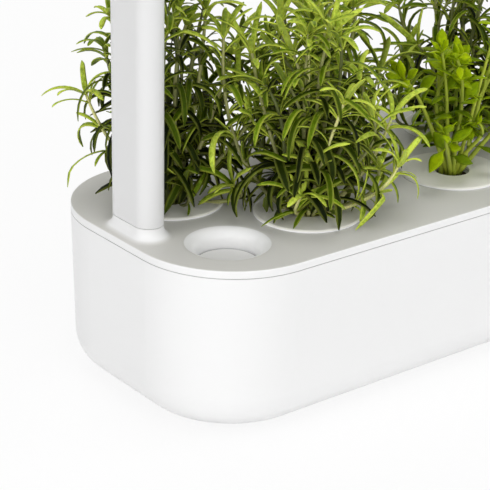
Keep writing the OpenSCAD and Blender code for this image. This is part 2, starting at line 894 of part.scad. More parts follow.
module driver_board() {
    color("darkgreen")
        translate([0, 0, lamp_z + driver_z])
            difference() {
                translate([driver_mid_x - driver_x / 2, -driver_y / 2, 0])
                    cube([driver_x, driver_y, board_t]);
                at_spots(driver_pillars, -1)
                    cylinder(h = board_t + 2, r = screw_r + screw_gap);
            }
}

// Wire that drops from the LED board, runs under the boards and rises to the driver board
module led_wire(y) {
    bend_r = 1.5;
    low_z = driver_z - 2.4;
    start_x = led_board_hx - 3;
    end_x = driver_mid_x - driver_x / 2 + 4;
    translate([start_x, y, low_z + bend_r])
        cylinder(h = led_z - low_z - bend_r, r = wire_r, $fn = 24);
    translate([end_x, y, low_z + bend_r])
        cylinder(h = driver_z - low_z - bend_r, r = wire_r, $fn = 24);
    translate([start_x + bend_r, y, low_z])
        rotate([0, 90, 0])
            cylinder(h = end_x - start_x - 2 * bend_r, r = wire_r, $fn = 24);
    translate([start_x + bend_r, y, low_z + bend_r])
        rotate([90, 0, 0])
            rotate([0, 0, 180])
                rotate_extrude(angle = 90)
                    translate([bend_r, 0])
                        circle(wire_r, $fn = 24);
    translate([end_x - bend_r, y, low_z + bend_r])
        rotate([90, 0, 0])
            rotate([0, 0, 270])
                rotate_extrude(angle = 90)
                    translate([bend_r, 0])
                        circle(wire_r, $fn = 24);
}

module led_wires() {
    color("firebrick")
        translate([0, 0, lamp_z])
            for (y = [-4, 4])
                led_wire(y);
}

module timer_switch() {
    color("black")
        translate([driver_mid_x, 0, lamp_z + driver_top])
            difference() {
                translate([-switch_size / 2, -switch_size / 2, 0])
                    cube([switch_size, switch_size, switch_h]);
                translate([0, 0, switch_h / 2 - button_travel])
                    cylinder(h = switch_h, r = plunger_r + screw_gap);
            }
}

// The plunger stands over its full travel above the floor of its hole
module switch_plunger() {
    color("beige")
        translate([driver_mid_x, 0, lamp_z + driver_top + switch_h / 2])
            cylinder(h = switch_h / 2 + plunger_rise, r = plunger_r);
}

module push_button() {
    stem_z = driver_top + switch_h + plunger_rise;
    flange_z = lamp_inner_h - button_flange_t - 0.1;
    color("lightgray")
        translate([driver_mid_x, 0, lamp_z]) {
            translate([0, 0, stem_z])
                cylinder(h = flange_z - stem_z + MODEL_EPS, r = plunger_r + 0.5);
            translate([0, 0, flange_z])
                cylinder(h = button_flange_t, r = button_r + 1.5);
            translate([0, 0, flange_z])
                cylinder(h = lamp_h + button_h - flange_z, r = button_r);
        }
}

module power_inlet() {
    face_y = lamp_w / 2 - lamp_wall - fit_gap;
    color("black")
        translate([driver_mid_x, face_y, lamp_z + driver_top]) {
            difference() {
                translate([-inlet_block / 2, -inlet_depth, 0])
                    cube([inlet_block, inlet_depth, inlet_block]);
                translate([0, 1, inlet_block / 2])
                    rotate([90, 0, 0])
                        cylinder(h = inlet_depth - 2, r = inlet_bore_r);
            }
            translate([0, -1, inlet_block / 2])
                rotate([90, 0, 0])
                    cylinder(h = inlet_depth - 2, r = inlet_pin_r);
        }
}

// Screw with its head at z = 0 and its thread below
module screw(len) {
    cylinder(h = screw_head_t, r = screw_head_r);
    translate([0, 0, -len])
        cylinder(h = len + screw_head_t / 2, r = screw_r);
}

// Their heads are sunk flush into the base plate
module base_screws() {
    color("gray")
        at_spots(base_screw_spots, lamp_z + screw_head_t)
            rotate([180, 0, 0])
                screw(base_t - screw_head_t + base_screw_bite);
}

module board_screws() {
    color("gray") {
        at_spots(sink_pillars, lamp_z + carrier_z + sink_t)
            screw(sink_t + board_screw_bite);
        at_spots(driver_pillars, lamp_z + driver_top)
            screw(board_t + driver_rise - 1);
    }
}

// ---- Assembly ----

if (wanted("water_tank")) water_tank();
if (wanted("deck_cover")) deck_cover();
if (wanted("float_cage")) float_cage();
if (wanted("float_disc")) float_disc();
if (wanted("float_buoy")) float_buoy();
for (i = [0:len(foot_spots) - 1])
    if (wanted(foot_names[i])) rubber_foot(i);
for (i = [0:back_count - 1]) {
    if (wanted(cup_name("cup", "back", i))) plant_cup(back_spots[i]);
    if (wanted(cup_name("pod", "back", i))) growing_pod(back_spots[i]);
    if (wanted(cup_name(plant_kind("back", i), "back", i)))
        plant(plant_kind("back", i), back_spots[i], i);
}
for (i = [0:front_count - 1]) {
    if (wanted(cup_name("cup", "front", i))) plant_cup(front_spots[i]);
    if (wanted(cup_name("pod", "front", i))) growing_pod(front_spots[i]);
    if (wanted(cup_name(plant_kind("front", i), "front", i)))
        plant(plant_kind("front", i), front_spots[i], i + 1);
}
if (wanted("lower_arm_left")) lower_arm(-1);
if (wanted("lower_arm_right")) lower_arm(1);
if (wanted("upper_arm_left")) upper_arm(-1);
if (wanted("upper_arm_right")) upper_arm(1);
if (wanted("lamp_housing")) lamp_housing();
if (wanted("lamp_base")) lamp_base();
if (wanted("lamp_diffuser")) lamp_diffuser();
if (wanted("heat_sink")) heat_sink();
if (wanted("led_board")) led_board();
if (wanted("leds")) leds();
if (wanted("driver_board")) driver_board();
if (wanted("led_wires")) led_wires();
if (wanted("timer_switch")) timer_switch();
if (wanted("switch_plunger")) switch_plunger();
if (wanted("push_button")) push_button();
if (wanted("power_inlet")) power_inlet();
if (wanted("base_screws")) base_screws();
if (wanted("board_screws")) board_screws();
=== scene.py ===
# %% [markdown]
# A countertop hydroponic garden: a white water tank, a light grey planting deck, plant cups with
# herbs, and a grow lamp on two arms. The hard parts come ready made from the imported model. This
# script adds the camera, the light, every finish, the soil in the pods and the living plants.

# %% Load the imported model
import json

import bpy
import numpy as np
from mathutils import Matrix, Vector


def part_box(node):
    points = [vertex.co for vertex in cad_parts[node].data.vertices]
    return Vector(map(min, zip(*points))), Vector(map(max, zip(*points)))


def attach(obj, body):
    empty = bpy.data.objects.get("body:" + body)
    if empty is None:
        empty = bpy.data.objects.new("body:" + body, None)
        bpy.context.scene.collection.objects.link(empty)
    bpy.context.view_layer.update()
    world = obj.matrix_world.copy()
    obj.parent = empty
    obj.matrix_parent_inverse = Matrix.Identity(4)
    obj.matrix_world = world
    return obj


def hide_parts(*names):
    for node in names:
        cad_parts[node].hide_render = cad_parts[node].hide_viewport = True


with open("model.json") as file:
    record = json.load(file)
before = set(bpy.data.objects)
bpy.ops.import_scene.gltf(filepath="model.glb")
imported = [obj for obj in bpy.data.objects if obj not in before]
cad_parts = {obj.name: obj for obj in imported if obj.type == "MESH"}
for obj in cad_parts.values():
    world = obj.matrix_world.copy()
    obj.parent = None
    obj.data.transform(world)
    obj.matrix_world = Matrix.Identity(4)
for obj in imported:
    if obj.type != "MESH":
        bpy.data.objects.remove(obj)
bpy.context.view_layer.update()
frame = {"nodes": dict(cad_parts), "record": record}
nodes = frame["nodes"]
MM = 0.001

# %% [markdown]
# The camera looks down on the left front corner through a long lens, so that the upright edges stay
# nearly parallel. It could be aimed by a constraint, but its place and angles are set as measures
# instead, because they are known: the angle around the object, the angle down and the slight roll.

# %% Camera
LENS_MM = 137.57
SENSOR_MM = 36.0
VIEW_END = 20.0
CAMERA_AT = np.array([-858.2, -838.65, 534.66]) * MM
YAW, PITCH, ROLL = np.radians([38.19, 23.14, 1.14])


def camera_axes(yaw, pitch, roll):
    """Right, up and forward: forward turns from +Y by yaw and dips by pitch, and the other two turn
    around it by roll."""
    forward = np.array([np.sin(yaw) * np.cos(pitch), np.cos(yaw) * np.cos(pitch), -np.sin(pitch)])
    level = np.array([np.cos(yaw), -np.sin(yaw), 0.0])
    upright = np.cross(level, forward)
    right = np.cos(roll) * level + np.sin(roll) * upright
    up = np.cos(roll) * upright - np.sin(roll) * level
    return right, up, forward


def placed_matrix(right, up, back, place):
    """Matrix whose columns are an object's own axes, as right, up and back, and its place."""
    rows = np.column_stack((right, up, back, place)).tolist()
    return Matrix([*rows, [0.0, 0.0, 0.0, 1.0]])


def add_camera():
    camera = bpy.data.objects.new("camera", bpy.data.cameras.new("camera"))
    bpy.context.scene.collection.objects.link(camera)
    camera.data.lens = LENS_MM
    camera.data.sensor_width = SENSOR_MM
    camera.data.clip_end = VIEW_END
    right, up, forward = camera_axes(YAW, PITCH, ROLL)
    camera.matrix_world = placed_matrix(right, up, -forward, CAMERA_AT)
    bpy.context.scene.camera = camera


add_camera()
bpy.context.scene.view_settings.view_transform = "Standard"
print("camera at", CAMERA_AT.tolist(), "metres, lens", LENS_MM, "mm")

# %% [markdown]
# Plain studio light: soft boxes on four sides and one above. An evenly lit world would do, but then
# no form would have a light and a dark side. Each box is an area lamp that looks at the middle of
# the garden. They stay out of reflections, so that the lamp's smooth top doesn't mirror them.

# %% Lights
AIM_AT = np.array([-0.1, 0.0, 0.12])
# name: (place in metres, side in metres, power in watts)
SOFT_BOXES = {
    "front": ((-0.6, -1.9, 0.75), 1.5, 17.0),
    "left": ((-2.0, -0.2, 0.8), 1.3, 14.5),
    "right": ((1.7, -1.0, 1.1), 1.2, 9.0),
    "back": ((0.3, 1.9, 1.2), 1.4, 18.0),
    "top": ((-0.1, -0.3, 2.2), 1.2, 16.5),
}


def add_soft_box(name, place, side, power):
    """Square lamp at place, whose -Z axis points to AIM_AT and whose X axis is level."""
    data = bpy.data.lights.new("soft_box_" + name, "AREA")
    data.shape = "SQUARE"
    data.size = side
    data.energy = power
    lamp = bpy.data.objects.new(data.name, data)
    lamp.visible_glossy = False
    bpy.context.scene.collection.objects.link(lamp)
    forward = AIM_AT - np.array(place)
    forward = forward / np.linalg.norm(forward)
    right = np.cross(forward, [0.0, 0.0, 1.0])
    right = right / np.linalg.norm(right)
    lamp.matrix_world = placed_matrix(right, np.cross(right, forward), -forward, place)


for box_name, (box_at, box_side, box_power) in SOFT_BOXES.items():
    add_soft_box(box_name, box_at, box_side, box_power)
print("hung", len(SOFT_BOXES), "soft boxes")

# %% [markdown]
# A finish is a small graph of nodes. It can be drawn by hand in the shader editor, but a script can
# be read and run again. Each helper here adds one node, and takes a constant or another node's
# socket for any input, so that a finish reads as a short recipe.

# %% Node helpers


def feed(tree, node, feeds):
    """Links each named input of a node to a socket, or sets it to a constant."""
    for label, value in feeds.items():
        if isinstance(value, bpy.types.NodeSocket):
            tree.links.new(value, node.inputs[label])
        else:
            node.inputs[label].default_value = value


def add_node(tree, kind, feeds, output=0, **settings):
    """Adds a shader node with its settings and inputs, and returns one of its outputs."""
    node = tree.nodes.new("ShaderNode" + kind)
    for name, value in settings.items():
        setattr(node, name, value)
    feed(tree, node, feeds)
    return node.outputs[output]


def add_math(tree, operation, a, b=0.0):
    return add_node(tree, "Math", {0: a, 1: b}, operation=operation)


def add_noise(tree, vector, scale, detail=3.0, roughness=0.5):
    feeds = {"Vector": vector, "Scale": scale, "Detail": detail, "Roughness": roughness}
    return add_node(tree, "TexNoise", feeds, "Fac")


def add_map(tree, value, low, high, to_low, to_high):
    """Moves a value evenly from the range low to high into the range to_low to to_high."""
    feeds = {"Value": value, "From Min": low, "From Max": high,
             "To Min": to_low, "To Max": to_high}
    return add_node(tree, "MapRange", feeds, "Result")


def add_mix(tree, factor, a, b, blend="MIX"):
    feeds = {"Factor": factor, "A": a, "B": b}
    return add_node(tree, "Mix", feeds, "Result", data_type="RGBA", blend_type=blend)


def add_length(tree, vector):
    return add_node(tree, "VectorMath", {0: vector}, "Value", operation="LENGTH")


def add_ramp(tree, factor, stops):
    """Colour ramp over a factor, from stops of (place, colour)."""
    node = tree.nodes.new("ShaderNodeValToRGB")
    while len(node.color_ramp.elements) < len(stops):
        node.color_ramp.elements.new(0.5)
    for element, (place, colour) in zip(node.color_ramp.elements, stops):
        element.position = place
        element.color = (*colour, 1.0)
    feed(tree, node, {"Fac": factor})
    return node.outputs["Color"]


# %% [markdown]
# The world is the white background. One bright world would wash out the plastic, so it is white
# only to the camera and in reflections, and dimmer to the rays that light the garden.

# %% World
FILL_STRENGTH = 0.2
WHITE_STRENGTH = 1.0


def seen_rays(tree):
    """1 for rays that show the background: the camera's, and those that were mirrored or bent."""
    path = tree.nodes.new("ShaderNodeLightPath").outputs
    turned = add_math(tree, "MAXIMUM", path["Is Glossy Ray"], path["Is Transmission Ray"])
    return add_math(tree, "MAXIMUM", path["Is Camera Ray"], turned)


def build_world():
    world = bpy.data.worlds.new("studio")
    bpy.context.scene.world = world
    world.use_nodes = True
    tree = world.node_tree
    tree.nodes.clear()
    white = (1.0, 1.0, 1.0, 1.0)
    lit = add_node(tree, "Background", {"Color": white, "Strength": FILL_STRENGTH})
    seen = add_node(tree, "Background", {"Color": white, "Strength": WHITE_STRENGTH})
    mix = add_node(tree, "MixShader", {"Fac": seen_rays(tree), 1: lit, 2: seen})
    feed(tree, tree.nodes.new("ShaderNodeOutputWorld"), {"Surface": mix})


build_world()
print("world lights with", FILL_STRENGTH, "and shows", WHITE_STRENGTH)

# %% [markdown]
# The soil and the plants are meshes built from arrays: the points, the faces and, for plants, one
# colour value per point. Blender's own tools could make them too, but a formula says their shape in
# one place. Each goes through one helper, so it is smooth shaded and sits at the origin.

# %% Mesh helper


def mesh_object(name, points, faces, material, tones=None):
    """Object from an (n, 3) array of points in metres and an (m, k) array of face corners."""
    mesh = bpy.data.meshes.new(name)
    mesh.from_pydata(points.tolist(), [], faces.tolist())
    mesh.polygons.foreach_set("use_smooth", np.ones(len(mesh.polygons), dtype=bool))
    if tones is not None:
        layer = mesh.color_attributes.new("tone", "FLOAT_COLOR", "POINT")
        rgba = np.ones((len(points), 4), dtype=np.float32)
        rgba[:, :3] = tones
        layer.data.foreach_set("color", rgba.ravel())
    mesh.materials.append(material)
    mesh.update()
    piece = bpy.data.objects.new(name, mesh)
    bpy.context.scene.collection.objects.link(piece)
    return piece


def ring_faces(rings, sides, copies=1):
    """Faces of closed tubes of rings x sides points: quads around them, and across both ends."""
    ring = np.arange(rings - 1)[:, None]
    side = np.arange(sides)[None, :]
    a = ring * sides + side
    b = ring * sides + (side + 1) % sides
    around = np.stack([a, b, b + sides, a + sides], -1).reshape(-1, 4)
    k = np.arange(sides // 2 - 1)
    last = (rings - 1) * sides
    start = np.stack([k + 1, k, sides - 1 - k, sides - 2 - k], -1)
    end = last + np.stack([k, k + 1, sides - 2 - k, sides - 1 - k], -1)
    quads = np.concatenate([around, np.stack([start, end], 1).reshape(-1, 4)])
    shift = (np.arange(copies) * rings * sides)[:, None, None]
    return (quads[None] + shift).reshape(-1, 4)


# %% [markdown]
# Moulded plastic is never one flat colour: its skin has a very fine grain, and its gloss varies in
# soft patches. One group gives both, and each plastic places it with its own colour and scale. A
# second group finds the faces of a part at one height: level tops, where the tints paint shade and
# add roughness, and joints, where they paint a shadow line.

# %% Shader groups
PATCH_SCALE = 14.0
LEVEL_TOLERANCE = 0.0001
LEVEL_FADE = 0.00015


def object_place(tree):
    """Object coordinates: the place of a point on its piece, which stays with the piece."""
    return add_node(tree, "TexCoord", {}, "Object")


def object_axis(tree, axis):
    return add_node(tree, "SeparateXYZ", {"Vector": object_place(tree)}, axis)


def new_group(name, inputs, outputs):
    """Empty node group; inputs and outputs are (name, kind, default) and (name, kind)."""
    group = bpy.data.node_groups.new(name, "ShaderNodeTree")
    for label, kind, default in inputs:
        socket = group.interface.new_socket(label, in_out="INPUT", socket_type=kind)
        socket.default_value = default
    for label, kind in outputs:
        group.interface.new_socket(label, in_out="OUTPUT", socket_type=kind)
    return group, group.nodes.new("NodeGroupInput").outputs, group.nodes.new("NodeGroupOutput")


def moulded_skin_group():
    """Fine grain of height, and patches that shift colour and roughness a little."""
    group, start, end = new_group(
        "moulded_skin",
        [("Color", "NodeSocketColor", (0.8, 0.8, 0.8, 1.0)), ("Roughness", "NodeSocketFloat", 0.4),
         ("Grain Scale", "NodeSocketFloat", 2500.0), ("Patches", "NodeSocketFloat", 0.05)],
        [("Color", "NodeSocketColor"), ("Roughness", "NodeSocketFloat"),
         ("Height", "NodeSocketFloat")])
    where = object_place(group)
    centred = add_math(group, "SUBTRACT", add_noise(group, where, PATCH_SCALE), 0.5)
    swing = add_math(group, "MULTIPLY", centred, start["Patches"])
    shade = add_map(group, swing, -0.05, 0.05, 0.985, 1.015)
    grey = add_node(group, "CombineColor", {"Red": shade, "Green": shade, "Blue": shade})
    feed(group, end, {"Color": add_mix(group, 1.0, start["Color"], grey, "MULTIPLY"),
                      "Roughness": add_math(group, "ADD", start["Roughness"], swing),
                      "Height": add_noise(group, where, start["Grain Scale"], 2.0)})
    return group


def level_face_group():
    """Mask that is 1 where a surface lies at the height Level, and 0 further than Reach below it or
    Rise above it."""
    group, start, end = new_group(
        "level_face", [("Level", "NodeSocketFloat", 0.1), ("Reach", "NodeSocketFloat", 0.0003),
                       ("Rise", "NodeSocketFloat", 0.0003)],
        [("Mask", "NodeSocketFloat")])
    offset = add_math(group, "SUBTRACT", object_axis(group, "Z"), start["Level"])
    above = add_map(group, offset, LEVEL_TOLERANCE, start["Rise"], 1.0, 0.0)
    lowest = add_math(group, "MULTIPLY", start["Reach"], -1.0)
    full = add_math(group, "ADD", lowest, LEVEL_FADE)
    below = add_map(group, offset, lowest, full, 0.0, 1.0)
    feed(group, end, {"Mask": add_math(group, "MULTIPLY", above, below)})
    return group


MOULDED_SKIN = moulded_skin_group()
LEVEL_FACE = level_face_group()
print("shader groups:", MOULDED_SKIN.name, LEVEL_FACE.name)

# %% [markdown]
# Nearly every hard part is injection moulded in matte plastic. A plain Principled shader of one
# colour would look like clay, so the skin group feeds its colour, its roughness and a faint bump.

# %% Plastic
SKIN_DEPTH = 0.0001


def new_material(name):
    material = bpy.data.materials.new(name)
    material.use_nodes = True
    return material, material.node_tree, material.node_tree.nodes["Principled BSDF"]


def add_bump(tree, shader, height, strength, distance):
    feeds = {"Strength": strength, "Distance": distance, "Height": height}
    feed(tree, shader, {"Normal": add_node(tree, "Bump", feeds, "Normal")})


def plastic(name, colour, roughness, grain=2500.0, bump=0.12, patches=0.06, specular=0.4):
    """Moulded plastic: the skin group feeds colour, roughness and a faint bump."""
    material, tree, shader = new_material(name)
    skin = tree.nodes.new("ShaderNodeGroup")
    skin.node_tree = MOULDED_SKIN
    feed(tree, skin, {"Color": (*colour, 1.0), "Roughness": roughness, "Grain Scale": grain,
                      "Patches": patches})
    feed(tree, shader, {"Base Color": skin.outputs["Color"],
                        "Roughness": skin.outputs["Roughness"], "Specular IOR Level": specular})
    add_bump(tree, shader, skin.outputs["Height"], bump, SKIN_DEPTH)
    return material


# %% [markdown]
# The deck and the cups are white parts whose level faces are painted a warm grey, as painted shade
# of tops that get little light from above, with a white edge left around them and the bowl left
# white, and a painted shadow line marks each joint and the float's gap. They could be separate
# pieces or painted maps, but a height or a distance from an axis says exactly where each tone ends.

# %% Tints
ROUND_EDGE = 0.0002


def fed_by(shader, label):
    """The socket that feeds an input of the shader at present."""
    return shader.inputs[label].links[0].from_socket


def tint_level(material, level, ratio, reach, rise=0.3 * MM, rougher=0.0):
    """Multiplies the colour by ratio, and adds to the roughness, where the surface lies near a
    level."""
    tree = material.node_tree
    shader = tree.nodes["Principled BSDF"]
    mask = add_node(tree, "Group", {"Level": level, "Reach": reach, "Rise": rise}, "Mask",
                    node_tree=LEVEL_FACE)
    tint = add_mix(tree, mask, (1.0, 1.0, 1.0, 1.0), (*ratio, 1.0))
    extra = add_math(tree, "MULTIPLY", mask, rougher)
    colour = add_mix(tree, 1.0, fed_by(shader, "Base Color"), tint, "MULTIPLY")
    rough = add_math(tree, "ADD", fed_by(shader, "Roughness"), extra)
    feed(tree, shader, {"Base Color": colour, "Roughness": rough})


def tint_round(material, node, inner, outer, colour, fade=0.1 * MM):
    """Mixes in a colour where the distance from a round piece's upright axis is inner to outer,
    with an edge that fades over a given width."""
    tree = material.node_tree
    shader = tree.nodes["Principled BSDF"]
    low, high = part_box(node)
    to_axis = (-0.5 * (low[0] + high[0]), -0.5 * (low[1] + high[1]), 0.0)
    level = add_node(tree, "Mapping", {"Vector": object_place(tree), "Location": to_axis,
                                       "Scale": (1.0, 1.0, 0.0)})
    distance = add_length(tree, level)
    middle, half = 0.5 * (inner + outer), 0.5 * (outer - inner)
    away = add_math(tree, "ABSOLUTE", add_math(tree, "SUBTRACT", distance, middle))
    mask = add_map(tree, away, half - fade, half + ROUND_EDGE, 1.0, 0.0)
    mixed = add_mix(tree, mask, fed_by(shader, "Base Color"), (*colour, 1.0))
    feed(tree, shader, {"Base Color": mixed})


# %% [markdown]
# The garden is one family of plastics: white shells, arms, deck, cups and float, black rubber feet,
# and the boards and the switch in the lamp. Each could have a function of its own, but they differ
# only in colour, gloss and grain, so a table lists them. The tints then go where the tone changes.

# %% Plastics of the garden
WHITE = (0.87, 0.87, 0.87)
BOWL_WHITE = (0.94, 0.94, 0.94)
# Painted shade: the deck's level top is multiplied to a warm grey, as it gets little light from
# above.
LEVEL_PAINTED_SHADE_SHARE = (0.745, 0.735, 0.70)
# Painted shade: the cups' level plates are multiplied to a slightly warmer, darker white.
PLATE_PAINTED_SHADE_SHARE = (0.95, 0.935, 0.87)
# Painted shadow: the share that darkens a thin band at each joint.
SEAM_PAINTED_SHADOW_SHARE = (0.5, 0.5, 0.49)
# Painted shadow: the dark ring around the float stands for the shade in its gap to the bowl.
GAP_PAINTED_SHADOW = (0.35, 0.35, 0.35)
BOWL_R = 25.6 * MM
CUP_STANDS_PROUD = 1.9 * MM
# slot or part: (colour, roughness, other values)
PLASTICS = {
    "shell_white": (WHITE, 0.42, {}),
    "tank_white": (WHITE, 0.42, {}),
    # Painted shade: the arms are the shells' white plastic, made greyer for the shade that falls on
    # them.
    "arm_white_painted_shade": ((0.75, 0.75, 0.75), 0.42, {}),
    "deck_grey": (WHITE, 0.4, {}),
    "cup_white": (BOWL_WHITE, 0.4, {}),
    "float_white": ((0.78, 0.775, 0.76), 0.35, {}),
    "cage_white": ((0.8, 0.8, 0.8), 0.5, {}),
    "foam": ((0.84, 0.82, 0.72), 0.9,
             {"grain": 900.0, "bump": 0.6, "patches": 0.12, "specular": 0.2}),
    "foot_rubber": ((0.07, 0.07, 0.07), 0.8, {"grain": 1500.0, "bump": 0.3}),
    "led_board": ((0.8, 0.79, 0.74), 0.35, {"grain": 1200.0, "bump": 0.1}),
    "led": ((0.75, 0.62, 0.14), 0.2, {"bump": 0.05}),
    "driver_board": ((0.01, 0.06, 0.025), 0.3, {"grain": 700.0, "bump": 0.2}),
    "wire": ((0.45, 0.03, 0.02), 0.35, {}),
    "switch_black": ((0.015, 0.015, 0.015), 0.4, {}),
    "plunger": ((0.7, 0.65, 0.5), 0.4, {}),
    "button": ((0.55, 0.55, 0.57), 0.45, {}),
}
finishes = {name: plastic(name, colour, roughness, **more)
            for name, (colour, roughness, more) in PLASTICS.items()}


def top_of(node):
    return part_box(node)[1][2]


deck_level = top_of("cup_back_1") - CUP_STANDS_PROUD
# Painted shadow lines: a dark band at the tank's top seam, and at the foot of each arm.
tint_level(finishes["tank_white"], top_of("water_tank") - 0.2 * MM, SEAM_PAINTED_SHADOW_SHARE, 0.32 * MM)
tint_level(finishes["arm_white_painted_shade"], top_of("deck_cover") + 0.2 * MM, SEAM_PAINTED_SHADOW_SHARE, 0.32 * MM)
# Painted shade on the deck's level top, a warm grey, which is also rougher; rounded edges stay
# white.
tint_level(finishes["deck_grey"], deck_level, LEVEL_PAINTED_SHADE_SHARE, 0.3 * MM,
           rise=1.6 * MM, rougher=0.15)
tint_round(finishes["deck_grey"], "float_disc", 0.0, BOWL_R, BOWL_WHITE, fade=2.0 * MM)
# Painted shade on each cup's level plate, which is also rougher; the rounded rim stays white.
tint_level(finishes["cup_white"], top_of("cup_back_1"), PLATE_PAINTED_SHADE_SHARE, 0.9 * MM, rougher=0.15)
# Painted shadow line at the foot of each cup, where it stands on the deck.
tint_level(finishes["cup_white"], deck_level + 0.1 * MM, SEAM_PAINTED_SHADOW_SHARE, 0.35 * MM)
# Painted shadow of the gap: a dark ring at the edge of the float disc.
disc_low, disc_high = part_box("float_disc")
disc_r = 0.5 * (disc_high[0] - disc_low[0])
tint_round(finishes["float_white"], "float_disc", disc_r - 0.5 * MM, disc_r + 1 * MM, GAP_PAINTED_SHADOW)
print("mixed", len(PLASTICS), "plastics; deck", deck_level, "tank", top_of("water_tank"),
      "foot", top_of("deck_cover"), "in metres")

# %% [markdown]
# The lamp's window is a frosted plate moulded with tiny pyramids, and the LEDs behind it show as
# soft spots. A see-through plate would be slow and noisy to render for so thin a part, so the spots
# are drawn where the LEDs stand: each fades with the distance to the nearest LED of two even rows.

# %% Frosted plate
LED_COUNT = 14
LED_SIZE = 5 * MM
SPOT_CORE, SPOT_EDGE = 1.5 * MM, 11 * MM
PYRAMID = 0.7 * MM


def frosted_plate(name, milky, glow):
    """Share of glow = (1 - distance to the nearest LED, evenly from SPOT_CORE to SPOT_EDGE)
    squared. Height of the pyramids = two saw waves of X and Y, added."""
    material, tree, shader = new_material(name)
    low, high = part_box("leds")
    pitch = (high[0] - low[0] - LED_SIZE) / (LED_COUNT - 1)
    x, y = object_axis(tree, "X"), object_axis(tree, "Y")
    from_first = add_math(tree, "SUBTRACT", x, low[0] + 0.5 * LED_SIZE)
    along = add_math(tree, "PINGPONG", from_first, 0.5 * pitch)
    row = add_math(tree, "SUBTRACT", add_math(tree, "ABSOLUTE", y), high[1] - 0.5 * LED_SIZE)
    distance = add_length(tree, add_node(tree, "CombineXYZ", {"X": along, "Y": row}))
    spot = add_map(tree, distance, SPOT_CORE, SPOT_EDGE, 1.0, 0.0)
    spot = add_math(tree, "MULTIPLY", spot, spot)
    feed(tree, shader, {"Base Color": add_mix(tree, spot, (*milky, 1.0), (*glow, 1.0)),
                        "Roughness": 0.3})
    facets = add_math(tree, "ADD", add_math(tree, "PINGPONG", x, PYRAMID),
                      add_math(tree, "PINGPONG", y, PYRAMID))
    add_bump(tree, shader, facets, 0.4, 1.0)
    return material


finishes["diffuser"] = frosted_plate("diffuser", (0.80, 0.82, 0.84), (0.86, 0.78, 0.50))
print("frosted plate over", 2 * LED_COUNT, "LEDs")

# %% [markdown]
# The heat sink is pressed through a die, which leaves fine lines along it. A picture of brushed
# metal could be laid on, but noise that is stretched along X gives the lines to the gloss and to
# the surface alike, at any size. The screws take the same metal, unstretched.

# %% Metals


def stretched_noise(tree, stretch, scale, detail):
    place = add_node(tree, "Mapping", {"Vector": object_place(tree), "Scale": stretch})
    return add_noise(tree, place, scale, detail)


def metal(name, colour, roughness, stretch):
    """Metal whose colour, roughness and surface are streaked by stretched noise."""
    material, tree, shader = new_material(name)
    streak = stretched_noise(tree, stretch, 900.0, 4.0)
    dull = (*[0.9 * c for c in colour], 1.0)
    feed(tree, shader, {
        "Base Color": add_mix(tree, streak, dull, (*colour, 1.0)), "Metallic": 1.0,
        "Roughness": add_map(tree, streak, 0.0, 1.0, roughness - 0.1, roughness + 0.12)})
    add_bump(tree, shader, streak, 0.2, 0.0001)
    return material


finishes["heat_sink"] = metal("heat_sink", (0.75, 0.76, 0.78), 0.38, (0.03, 1.0, 1.0))
finishes["screw"] = metal("screw", (0.6, 0.61, 0.63), 0.35, (1.0, 1.0, 1.0))
print("finishes so far:", len(finishes))

# %% [markdown]
# Each imported node names the slot of its material. They could be finished one by one, but a slot's
# finish suits all its nodes. Only the tank and the arms, which share the lamp's slot, have painted
# shadow lines at heights of their own, and the arms a greyer white as painted shade, so they take
# finishes of their own.

# %% Finish the imported nodes


def finish_for(node, slot):
    """Finish of a node: the tank and the arms have their own, the others that of their slot."""
    if node == "water_tank":
        return finishes["tank_white"]
    if node.startswith(("lower_arm_", "upper_arm_")):
        return finishes["arm_white_painted_shade"]
    return finishes.get(slot)


finished = 0
for entry in frame["record"]["subparts"]:
    finish = finish_for(entry["node"], entry["material_slot"])
    if finish is not None:
        slots = nodes[entry["node"]].data.materials
        slots.clear()
        slots.append(finish)
        finished += 1
print("finished", finished, "packed nodes")

# %% [markdown]
# The soil in a pod is dark, crumbly growing medium with paler crumbs. A single brown would look
# like rubber, so one noise mixes two dark browns, and a finer one picks out and lifts the crumbs.

# %% Soil


def soil_material():
    material, tree, shader = new_material("soil")
    where = object_place(tree)
    crumbs = add_noise(tree, where, 700.0, 6.0, 0.7)
    fibre = add_noise(tree, where, 240.0, 3.0, 0.6)
    dark = add_mix(tree, fibre, (0.008, 0.005, 0.003, 1.0), (0.035, 0.02, 0.01, 1.0))
    light = add_map(tree, crumbs, 0.62, 0.72, 0.0, 1.0)
    feed(tree, shader, {"Base Color": add_mix(tree, light, dark, (0.11, 0.07, 0.035, 1.0)),
                        "Roughness": 0.9})
    add_bump(tree, shader, crumbs, 0.8, 0.0006)
    return material


soil = soil_material()
print("mixed", soil.name)

# %% [markdown]
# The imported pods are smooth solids. Sculpting or a displacement could roughen them, but here each
# is replaced by a turned plug, whose profile is carried round the axis and whose top is waved by a
# sum of sines. It is a real surface, so light catches it from the side too.

# %% Soil pods
PLUG_SIDES = 32
PLUG_WALL_RINGS = 6
PLUG_TOP_RINGS = 9
PLUG_GAP = 0.0003
PLUG_SUNK = 0.0008
SOIL_WAVES = 6
WAVE_RATE = 1400
WAVE_HEIGHT = 0.00015


